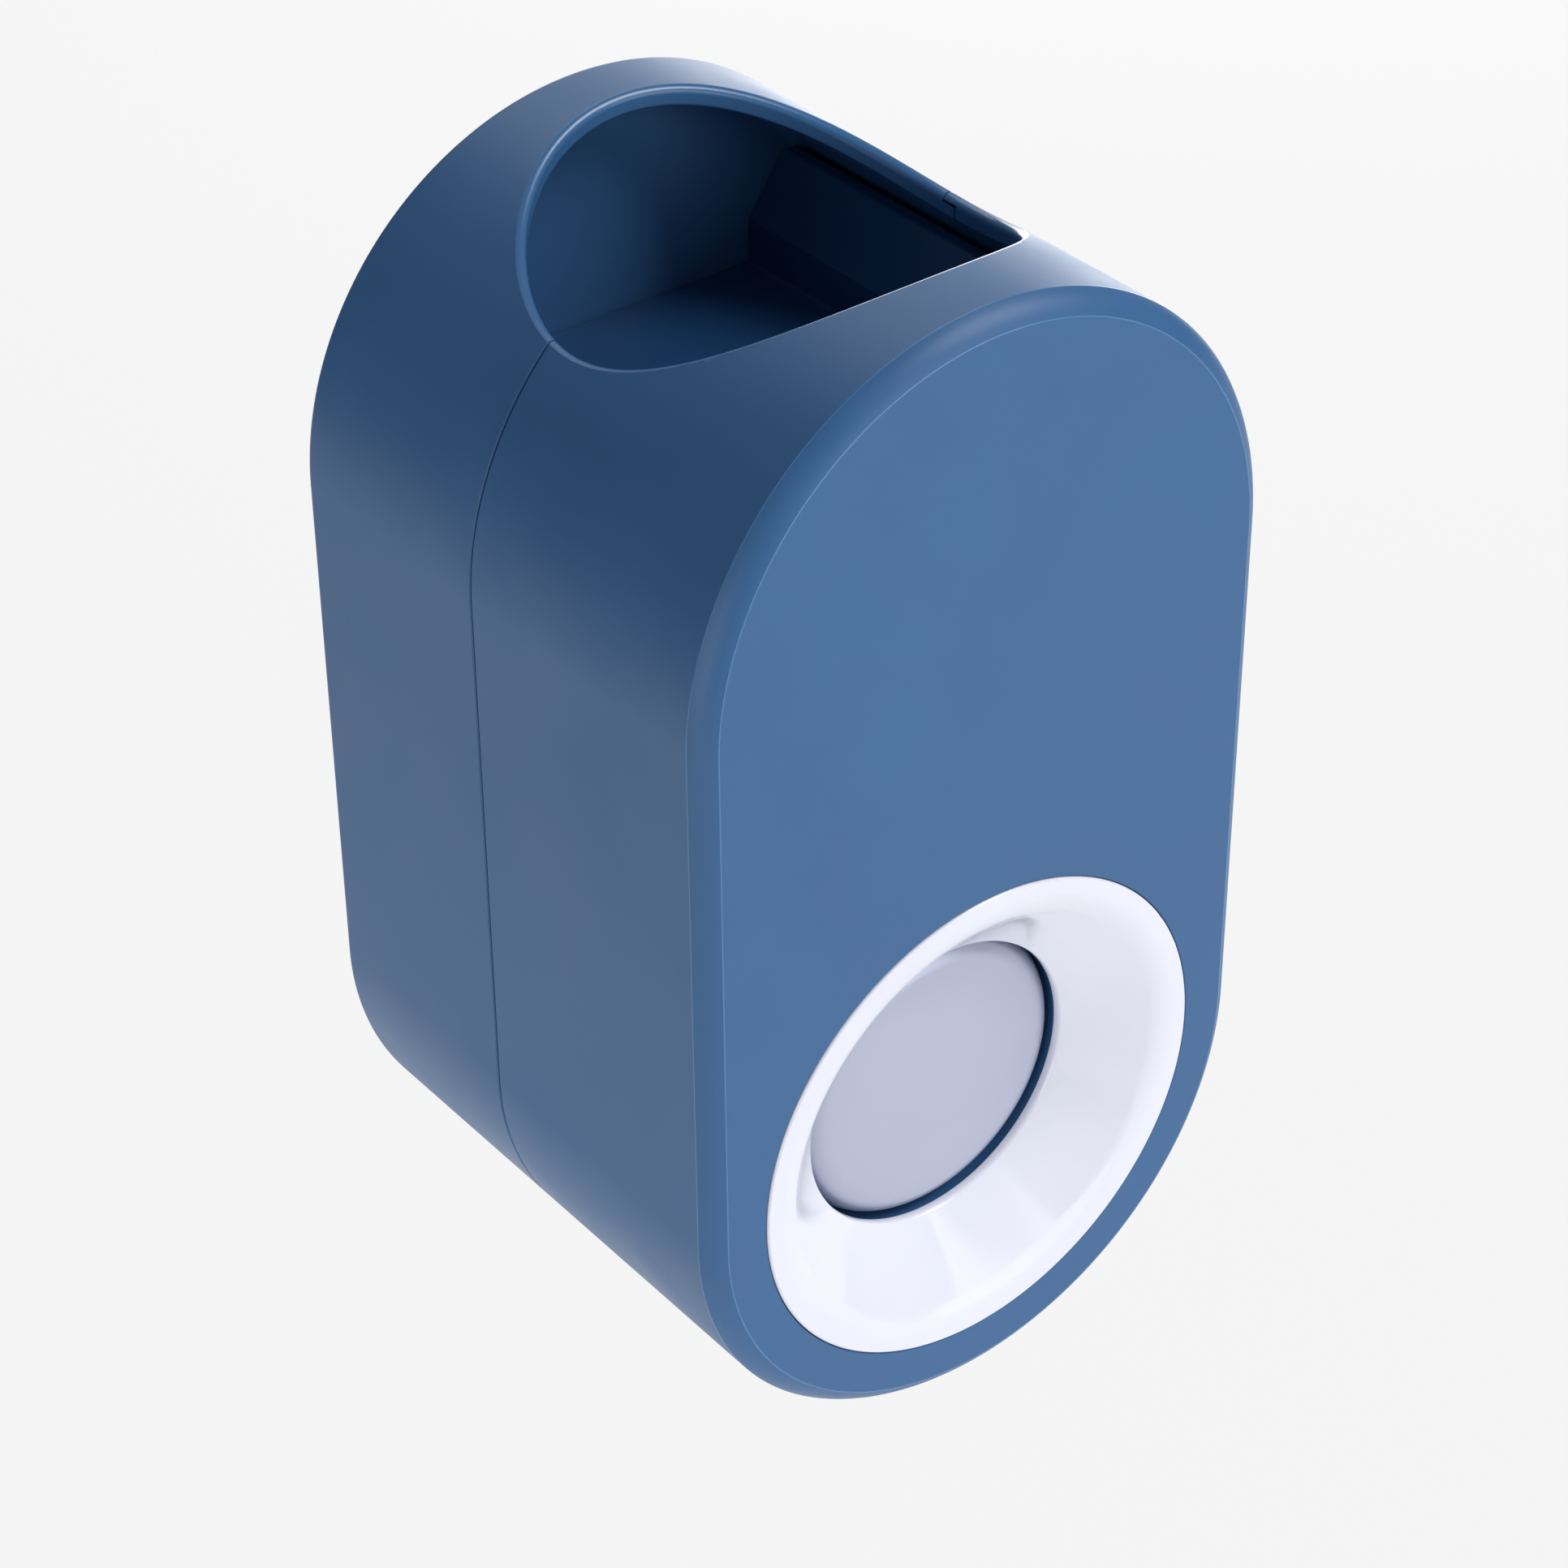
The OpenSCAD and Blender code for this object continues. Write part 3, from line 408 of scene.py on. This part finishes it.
frontOff = seamCutter(wall / 2, seamY, -1, casing["seamCutBack"])
rearOff = seamCutter(wall / 2 + gap, seamY + gap, 1, casing["seamCutFront"])
rearMesh = combine(bodyMesh.copy(), [rearOff], "DIFFERENCE")
frontMesh = combine(bodyMesh, [frontOff], "DIFFERENCE")

# (x, z) of the screws that close the casing, and of those that hold the chassis
screwPlaces = [(-28.6, 31.0), (28.6, 31.0), (-30.5, -3.3), (30.5, -3.3), (0, -76.0)]
tabPlaces = [(-26.1, -14.97), (26.1, -14.97), (-26.1, 18.5), (26.1, 18.5)]

# the seat that holds the brush ring, its section as (radius, depth), and the tubes that take the screws
seat = {"recessRadius": 31.7, "steps": 240, "edgeRound": 0.2, "edgeWithin": 31.8,
        "section": [(31.7, -72.8), (33.7, -72.8), (33.7, -70.4), (28.83, -70.4), (21.65, -63.4),
                    (21.65, -50), (19.65, -50), (19.65, -64.6), (20.02, -64.6), (28.27, -72.4),
                    (31.7, -72.4)]}
tube = {"radius": 3.55, "front": -72.8, "ringTubeFront": -70.5, "tabEnd": -66.4, "bore": 1.5,
        "boreFront": -48, "tabBore": (-71.6, -65.4), "rearRadius": 4.2, "rearBore": 1.75, "rearBoreEnd": -20,
        "headBore": 3.1, "headSeat": -28, "room": (20, 40)}
nozzle = {"holeRadius": 3.45, "y": -59, "hole": (-28.6, -22.8)}


def tubeRoom():
    # clears the screw tubes from under the opening
    return rod(casing["openingRadius"], *tube["room"], openingCentre, upwards, steps=240)


def tubes(radius, first, last, places, steps=48):
    return [rod(radius, first, last, (x, 0, z), steps=steps) for x, z in places]


recess = rod(seat["recessRadius"], frontY - 2 * past, frontY + wall + past, ringCentre, steps=seat["steps"])
frontMesh = combine(frontMesh, [recess], "DIFFERENCE")
bosses = [turned(seat["section"], ringCentre, steps=seat["steps"])]
bosses += tubes(tube["radius"], tube["front"], seamY, screwPlaces[:4])
bosses += tubes(tube["radius"], tube["ringTubeFront"], seamY, screwPlaces[4:])
bosses += tubes(tube["radius"], tube["front"], tube["tabEnd"], tabPlaces)
frontMesh = combine(frontMesh, bosses, "UNION")
holes = [tubeRoom(), rod(nozzle["holeRadius"], *nozzle["hole"], (0, nozzle["y"], 0), upwards, steps=48)]
holes += tubes(tube["bore"], tube["boreFront"], seamY + past, screwPlaces, steps=32)
holes += tubes(tube["bore"], *tube["tabBore"], tabPlaces, steps=32)
frontMesh = combine(frontMesh, holes, "DIFFERENCE")
print("front shell: ring edges rounded", softenEdges(
    frontMesh, seat["edgeRound"], 3,
    lambda co: near(co.y, frontY) and math.hypot(co.x, co.z - ringCentre[2]) < seat["edgeWithin"]))

# the shells' material slots: 0 satin, 1 crisp polished edges made lighter as a painted highlight line, 2 the
# lip's round made lighter as painted sheen
zone = {"outerDepth": 0.16, "outerInset": 0.06, "innerDepth": 0.05, "innerInset": 0.17, "lipMargin": 0.1,
        "lipLowest": 28.5}


# slot 1 for the crisp edges and the seam's chamfer, which carry a painted highlight line; slot 2 for the
# lip's round, which carries painted sheen
def paintedLightSlot(co):
    inset = casing["halfWidth"] - awayFromCore(co)
    outer = bevelArc[0][1] - zone["outerDepth"] < co.y < bevelArc[0][1] and inset < zone["outerInset"]
    inner = (co.y < frontY + zone["innerDepth"]
             and casing["bevel"] - zone["innerInset"] < inset < casing["bevel"])
    if outer or inner or (seamY - seamRound < co.y < seamY and inset < seamRound):
        return 1
    reach = casing["openingRadius"] + casing["lipRound"] - zone["lipMargin"]
    lip = math.hypot(co.x, co.y - casing["openingY"]) < reach and co.z > zone["lipLowest"]
    return 2 if lip and inset < casing["lipRound"] else 0


def finishShell(bm, name, node):
    for face in bm.faces:
        face.material_index = paintedLightSlot(face.calc_center_median())
    shell = finishPiece(bm, name, "casing", [node], "blue_abs", sharp=casing["sharp"])
    shell.data.materials.append(edgeHighlightAbs)
    shell.data.materials.append(lipSheenAbs)


finishShell(frontMesh, "frontShell", "front_shell")

# the rear shell's pocket for the wall plate, and the box round it
pocket = {"halfWidth": 17.3, "front": -4.9, "low": -30.1, "high": 15.05, "headHalf": 22.3,
          "headLow": -12.1, "headBack": -2.5, "wayInTop": 1.5, "boxHalf": 24.4, "boxFront": -7.3,
          "boxLow": -32.5, "boxHigh": 17.4, "boxCorner": 1.5, "edgeRound": 0.25}
joined = [blockMesh((-pocket["boxHalf"], pocket["boxFront"], pocket["boxLow"]),
                    (pocket["boxHalf"], backY - wall / 2, pocket["boxHigh"]), pocket["boxCorner"], 4)]
joined += tubes(tube["rearRadius"], seamY + gap, backY - wall / 2, screwPlaces, steps=64)
rearMesh = combine(rearMesh, joined, "UNION")
holes = [tubeRoom()]
holes += tubes(tube["rearBore"], seamY - past, tube["rearBoreEnd"], screwPlaces)
holes += tubes(tube["headBore"], tube["headSeat"], past, screwPlaces, steps=64)
holes += [blockMesh((-half, pocket["front"], low), (half, back, high)) for half, low, back, high in (
    (pocket["halfWidth"], pocket["low"], past, pocket["high"]),
    (pocket["headHalf"], pocket["headLow"], pocket["headBack"], pocket["high"]),
    (pocket["headHalf"], pocket["headLow"], past, pocket["wayInTop"]))]
rearMesh = combine(rearMesh, holes, "DIFFERENCE")
print("rear shell: back edges rounded", softenEdges(
    rearMesh, pocket["edgeRound"], 2, lambda co: near(co.y, backY)))
finishShell(rearMesh, "rearShell", "rear_shell")
print("casing: both shells finished")


# brush ring: polished, with a soft turn from the flat annulus into the cone

ring = {"outer": 31.6, "mouth": 27.9, "throat": 18.9, "proud": -74.2, "flange": -72.4, "throatY": -65.8,
        "lipY": -64.7, "coneBack": 28.17, "lipOuter": 19.92, "outerRound": 0.35, "mouthRound": 1.8,
        "throatRound": 0.3, "lipRound": 0.2}
ringMesh = turned([(ring["mouth"], ring["proud"]), (ring["outer"], ring["proud"]),
                   (ring["outer"], ring["flange"]), (ring["coneBack"], ring["flange"]),
                   (ring["lipOuter"], ring["lipY"]), (ring["throat"], ring["lipY"]),
                   (ring["throat"], ring["throatY"])], ringCentre, steps=256)


def circleAt(radius, depth):
    return lambda co: near(math.hypot(co.x, co.z - ringCentre[2]), radius) and near(co.y, depth)


softenEdges(ringMesh, ring["mouthRound"], 8, circleAt(ring["mouth"], ring["proud"]))
softenEdges(ringMesh, ring["outerRound"], 4, circleAt(ring["outer"], ring["proud"]))
softenEdges(ringMesh, ring["throatRound"], 4, circleAt(ring["throat"], ring["throatY"]))
softenEdges(ringMesh, ring["lipRound"], 2, circleAt(ring["throat"], ring["lipY"]))
finishPiece(ringMesh, "funnelRing", "casing", ["funnel_ring"], "white_abs")
print("brush ring finished")


# cap that the brush pushes: shallow crown, full round at its edge, skirt

cap = {"radius": 19.3, "centreY": -65.7, "rimY": -65.1, "round": 3.8, "skirtY": -57.0, "wall": 1.2,
       "insideY": -63.9, "crownSteps": 10, "roundSteps": 10}
flat = cap["radius"] - cap["round"]
crown = [(flat * i / cap["crownSteps"],
          cap["centreY"] + (cap["rimY"] - cap["centreY"]) * (i / cap["crownSteps"]) ** 2)
         for i in range(cap["crownSteps"])]
edgeRound = arcPoints((flat, cap["rimY"] + cap["round"]), cap["round"], -90, 0, cap["roundSteps"])
inside = [(cap["radius"], cap["skirtY"]), (cap["radius"] - cap["wall"], cap["skirtY"]),
          (cap["radius"] - cap["wall"], cap["insideY"]), (0, cap["insideY"])]
capMesh = turned(crown + edgeRound + inside, ringCentre, steps=256, closed=False)
finishPiece(capMesh, "pushCap", "pusher", ["push_cap"], "silver_abs")
print("push cap finished")


# return spring: wire on a helix between the cap's disc and the chassis

spring = {"wire": 0.5, "coil": 6.4, "coils": 9, "front": -59.4, "rear": -17.6, "discBack": -60.0,
          "seatY": -17.0, "travel": 12.0, "sides": 12, "stepsPerCoil": 36}
springSteps = spring["coils"] * spring["stepsPerCoil"]
springMesh = bmesh.new()
wireEnd = bmesh.ops.create_circle(springMesh, segments=spring["sides"], radius=spring["wire"])["verts"]
bmesh.ops.translate(springMesh, vec=(spring["coil"], spring["front"], ringCentre[2]), verts=wireEnd)
bmesh.ops.spin(springMesh, geom=wireEnd + list(springMesh.edges), cent=ringCentre, axis=-alongDepth,
               dvec=alongDepth * (spring["rear"] - spring["front"]) / springSteps,
               angle=math.tau * spring["coils"], steps=springSteps)
bmesh.ops.holes_fill(springMesh, edges=[e for e in springMesh.edges if e.is_boundary],
                     sides=spring["sides"])
springPiece = finishPiece(springMesh, "returnSpring", "casing", ["return_spring"], "steel", sharp=50)
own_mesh(springPiece)
print("return spring finished")


# tray under the tube: floor with drawn-in corners and flared sides

tray = {"halfFloor": 22.0, "floor": 29.5, "under": 27.7, "sideTop": 35.0, "flareX": 27.3, "flareTop": 42.53,
        "wall": 1.8, "frontY": -69.8, "backY": -3.1, "sleeve": 8.15, "sleeveCut": (20, 31),
        "innerRound": 1.2, "edgeRound": 0.3, "pegRadius": 1.4, "pegLow": 22.7, "pegHigh": 28.6,
        "pegX": 15.6, "pegY": (-53.4, -20.0)}


def trayOutline(points, front, rear):
    bm = bmesh.new()
    verts = [bm.verts.new((x, front, z)) for x, z in points]
    edges = [bm.edges.new((verts[i - 1], verts[i])) for i in range(len(verts))]
    face = bmesh.ops.contextual_create(bm, geom=edges)["faces"]
    grown = bmesh.ops.extrude_face_region(bm, geom=face)["geom"]
    bmesh.ops.translate(bm, vec=(0, rear - front, 0), verts=newVerts(grown))
    bmesh.ops.recalc_face_normals(bm, faces=bm.faces)
    return bm


trayWall = tray["wall"]
rightSide = [(tray["halfFloor"], tray["floor"]), (tray["halfFloor"], tray["sideTop"]),
             (tray["flareX"], tray["flareTop"]), (tray["flareX"] + trayWall, tray["flareTop"]),
             (tray["halfFloor"] + trayWall, tray["sideTop"]), (tray["halfFloor"] + trayWall, tray["under"])]
leftSide = [(-x, z) for x, z in reversed(rightSide)]
trayMesh = trayOutline(rightSide + leftSide, tray["frontY"], tray["backY"])
frontWall = rightSide[:3] + [(-x, z) for x, z in reversed(rightSide[:3])]
trayMesh = combine(trayMesh, [trayOutline(frontWall, tray["frontY"], tray["frontY"] + trayWall)]
                   + [rod(tray["pegRadius"], tray["pegLow"], tray["pegHigh"], (x, y, 0), upwards, steps=32)
                      for x in (-tray["pegX"], tray["pegX"]) for y in tray["pegY"]], "UNION")
trayMesh = combine(trayMesh, [rod(tray["sleeve"], *tray["sleeveCut"], openingCentre, upwards)],
                   "DIFFERENCE")
softenEdges(trayMesh, tray["innerRound"], 4, lambda co: near(co.z, tray["floor"]) and (
    near(abs(co.x), tray["halfFloor"]) or near(co.y, tray["frontY"] + trayWall)))
softenEdges(trayMesh, tray["edgeRound"], 3, lambda co: near(co.z, tray["flareTop"]))
# the tray takes the darkened ABS: painted shade
finishPiece(trayMesh, "tubeTray", "casing", ["tube_tray"], "navy_abs")
print("tray finished")


# socket that grips the tube's neck: rounded lip, grooved bore

socket = {"outside": [(2.6, 22.6), (8.1, 22.6), (8.1, 29.5), (12.5, 29.5), (12.5, 30.7), (9.3, 33.3),
                      (7.1, 33.3)],
          "bore": 5.6, "boreTop": 31.8, "boreLow": 23.8, "way": 2.6, "groove": 0.35, "grooves": 3,
          "grooveLow": 25.2, "grooveStep": 2.0, "grooveWide": 0.8, "flank": 0.2, "round": 0.35,
          "roundAbove": 30.5}
socketOutline = socket["outside"] + [(socket["bore"], socket["boreTop"])]
for i in reversed(range(socket["grooves"])):
    low = socket["grooveLow"] + i * socket["grooveStep"]
    deep, high = socket["bore"] + socket["groove"], low + socket["grooveWide"]
    socketOutline += [(socket["bore"], high), (deep, high - socket["flank"]), (deep, low + socket["flank"]),
                      (socket["bore"], low)]
socketOutline += [(socket["bore"], socket["boreLow"]), (socket["way"], socket["boreLow"])]
socketMesh = turned(socketOutline, openingCentre, upwards, steps=128)
softenEdges(socketMesh, socket["round"], 3, lambda co: co.z > socket["roundAbove"])
finishPiece(socketMesh, "tubeSocket", "casing", ["tube_socket"], "silicone")
print("tube socket finished")


# wall plate and its foam pad

plate = {"halfWidth": 17.0, "halfHeight": 15.0, "headHalf": 22.0, "headLow": 3.0, "headFront": -4.6,
         "headBack": -2.6, "padFront": -0.8, "corner": 1.5, "padCorner": 1.2, "overlap": 0.01,
         "edgeRound": 0.2}
plateMesh = blockMesh((-plate["halfWidth"], plate["headBack"], -plate["halfHeight"]),
                      (plate["halfWidth"], plate["padFront"], plate["halfHeight"]), plate["corner"])
headMesh = blockMesh((-plate["headHalf"], plate["headFront"], plate["headLow"]),
                     (plate["headHalf"], plate["headBack"] + plate["overlap"], plate["halfHeight"]),
                     plate["corner"])
plateMesh = combine(plateMesh, [headMesh], "UNION")
softenEdges(plateMesh, plate["edgeRound"], 2, lambda co: near(co.y, plate["headFront"]))
finishPiece(plateMesh, "wallPlate", "wall_mount", ["wall_plate"], "clear_pp")
padMesh = blockMesh((-plate["halfWidth"], plate["padFront"], -plate["halfHeight"]),
                    (plate["halfWidth"], 0, plate["halfHeight"]), plate["padCorner"])
finishPiece(padMesh, "adhesivePad", "wall_mount", ["adhesive_pad"], "foam")
print("wall plate and pad finished")


# screws with a cross recess

screws = {"shank": 1.45, "head": 2.8, "headHeight": 2.0, "dome": 0.6, "slotWide": 0.75, "slotLong": 3.1,
          "slotDeep": 1.1, "pitch": 1.2, "threadDeep": 0.3, "tip": 0.3, "neck": 0.6, "crestFrom": 0.4,
          "crestTo": 0.55, "domeTurns": (0.3, 0.6, 0.9, 1.2), "caseLength": 15.0, "tabSeat": -64.4,
          "tabLength": 6.0}


def screwSet(name, node, places, seatY, length):
    # head towards the wall, shank towards the front, with rings for the thread's crests
    top = seatY + screws["headHeight"]
    outline = [(0, seatY - length)]
    at = seatY - length + screws["tip"]
    root, crest, pitch = screws["shank"] - screws["threadDeep"], screws["shank"], screws["pitch"]
    outline.append((root, at))
    while at + pitch < seatY - screws["neck"]:
        outline += [(crest, at + pitch * screws["crestFrom"]), (crest, at + pitch * screws["crestTo"]),
                    (root, at + pitch)]
        at += pitch
    outline += [(crest, at + screws["tip"]), (crest, seatY), (screws["head"], seatY),
                (screws["head"], top - screws["dome"])]
    outline += [(screws["head"] * math.cos(a), top - screws["dome"] + screws["dome"] * math.sin(a))
                for a in screws["domeTurns"]] + [(0, top)]
    one = turned(outline, (0, 0, 0), steps=40, closed=False)
    wide, far = screws["slotWide"] / 2, screws["slotLong"] / 2
    deep = top - screws["slotDeep"]
    one = combine(one, [blockMesh((-wide, deep, -far), (wide, top + past, far)),
                        blockMesh((-far, deep, -wide), (far, top + past, wide))], "DIFFERENCE")
    first = list(one.verts) + list(one.edges) + list(one.faces)
    for x, z in places[1:]:
        copy = bmesh.ops.duplicate(one, geom=first)["geom"]
        bmesh.ops.translate(one, vec=(x, 0, z), verts=newVerts(copy))
    bmesh.ops.translate(one, vec=(places[0][0], 0, places[0][1]), verts=newVerts(first))
    finishPiece(one, name, "casing", [node], "steel")


screwSet("caseScrews", "case_screws", screwPlaces, tube["headSeat"], screws["caseLength"])
screwSet("chassisScrews", "chassis_screws", tabPlaces, screws["tabSeat"], screws["tabLength"])
print("screws finished")


# floor, light and camera

# the object hangs on a wall, so the floor lies well below it; in metres
stage = {"floorZ": -0.33, "reach": 1.2, "floorTone": "#FCFCFC", "seenTone": "#F5F5F5", "shadowShare": 0.06,
         "skyTone": "#C9CEDC", "skyStrength": 0.25}
floorMesh = bmesh.new()
bmesh.ops.create_grid(floorMesh, x_segments=1, y_segments=1, size=stage["reach"])
bmesh.ops.translate(floorMesh, vec=(0, 0, stage["floorZ"]), verts=floorMesh.verts)
floor = meshObject(floorMesh, "floor")
floorPaper = bpy.data.materials.new("matt white background paper")
floorPaper.use_nodes = True
tree = floorPaper.node_tree
tree.nodes.clear()
seen = addNode(tree, "LightPath")
direct = addNode(tree, "Math", {0: seen.outputs["Is Camera Ray"], 1: seen.outputs["Is Glossy Ray"]},
                 operation="MAXIMUM")
direct = addNode(tree, "Math", {0: direct.outputs[0], 1: seen.outputs["Is Transmission Ray"]},
                 operation="MAXIMUM")
# a share of plain paper stays in what is seen, and keeps the object's shadow
direct = addNode(tree, "Math", {0: direct.outputs[0], 1: 1 - stage["shadowShare"]}, operation="MULTIPLY")
paper = addNode(tree, "BsdfDiffuse", {"Color": linearColour(stage["floorTone"])})
glow = addNode(tree, "Emission", {"Color": linearColour(stage["seenTone"]), "Strength": 1.0})
mixed = addNode(tree, "MixShader", {0: direct.outputs[0], 1: paper.outputs[0], 2: glow.outputs[0]})
addNode(tree, "OutputMaterial", {"Surface": mixed.outputs[0]})
floor.data.materials.append(floorPaper)

world = bpy.data.worlds.new("studio")
bpy.context.scene.world = world
world.use_nodes = True
tree = world.node_tree
tree.nodes.clear()
seen = addNode(tree, "LightPath")
soft = addNode(tree, "Background", {"Color": linearColour(stage["skyTone"]),
                                    "Strength": stage["skyStrength"]})
white = addNode(tree, "Background", {"Color": linearColour(stage["seenTone"]), "Strength": 1.0})
mixed = addNode(tree, "MixShader", {0: seen.outputs["Is Camera Ray"], 1: soft.outputs[0],
                                    2: white.outputs[0]})
addNode(tree, "OutputWorld", {"Surface": mixed.outputs[0]})


def panel(name, place, target, size, power):
    light = bpy.data.lights.new(name, "AREA")
    light.shape = "RECTANGLE"
    light.size, light.size_y = size
    light.energy = power
    made = bpy.data.objects.new(name, light)
    bpy.context.scene.collection.objects.link(made)
    made.location = place
    made.rotation_euler = (Vector(target) - Vector(place)).to_track_quat("-Z", "Y").to_euler()


panel("front panel", (0.3, -1.08, 0.15), (0, -0.04, 0), (0.9, 0.9), 5.0)
panel("upper panel", (0.62, -0.56, 0.86), (0, -0.03, 0.0), (0.5, 0.5), 7.8)
panel("rear panel", (0.8, 0.72, 0.0), (0, -0.03, 0.04), (0.8, 0.62), 5.2)
panel("top panel", (0.38, 0.75, 0.8), (0, -0.03, 0.05), (0.8, 0.8), 3.2)
panel("left panel", (-0.9, -0.42, 0.0), (0, -0.04, 0), (0.5, 0.5), 2.3)
panel("floor panel", (-0.6, -0.1, 0.0), (-0.6, -0.1, -0.3), (0.8, 0.8), 1.3)
print("floor and lights in place")

view = {"azimuth": -37.867, "elevation": 35.012, "roll": -0.494, "distance": 495.48,
        "target": (1.62, -35.0, -20.2), "focalPixels": 5154.01, "imagePixels": 1932, "sensor": 36.0}
turn, rise, roll = (math.radians(view[k]) for k in ("azimuth", "elevation", "roll"))
back = Vector((math.sin(turn) * math.cos(rise), -math.cos(turn) * math.cos(rise), math.sin(rise)))
right = upwards.cross(back).normalized()
up = back.cross(right)
rolledRight = right * math.cos(roll) + up * math.sin(roll)
rolledUp = up * math.cos(roll) - right * math.sin(roll)
lens = bpy.data.cameras.new("camera")
lens.sensor_width = view["sensor"]
lens.lens = view["focalPixels"] * view["sensor"] / view["imagePixels"]
lens.clip_start, lens.clip_end = 0.01, 50
camera = bpy.data.objects.new("camera", lens)
bpy.context.scene.collection.objects.link(camera)
spot = (Vector(view["target"]) + back * view["distance"]) * mm
camera.matrix_world = Matrix.Translation(spot) @ Matrix((rolledRight, rolledUp, back)).transposed().to_4x4()
bpy.context.scene.camera = camera
bpy.context.scene.view_settings.view_transform = "Standard"
print("camera set")
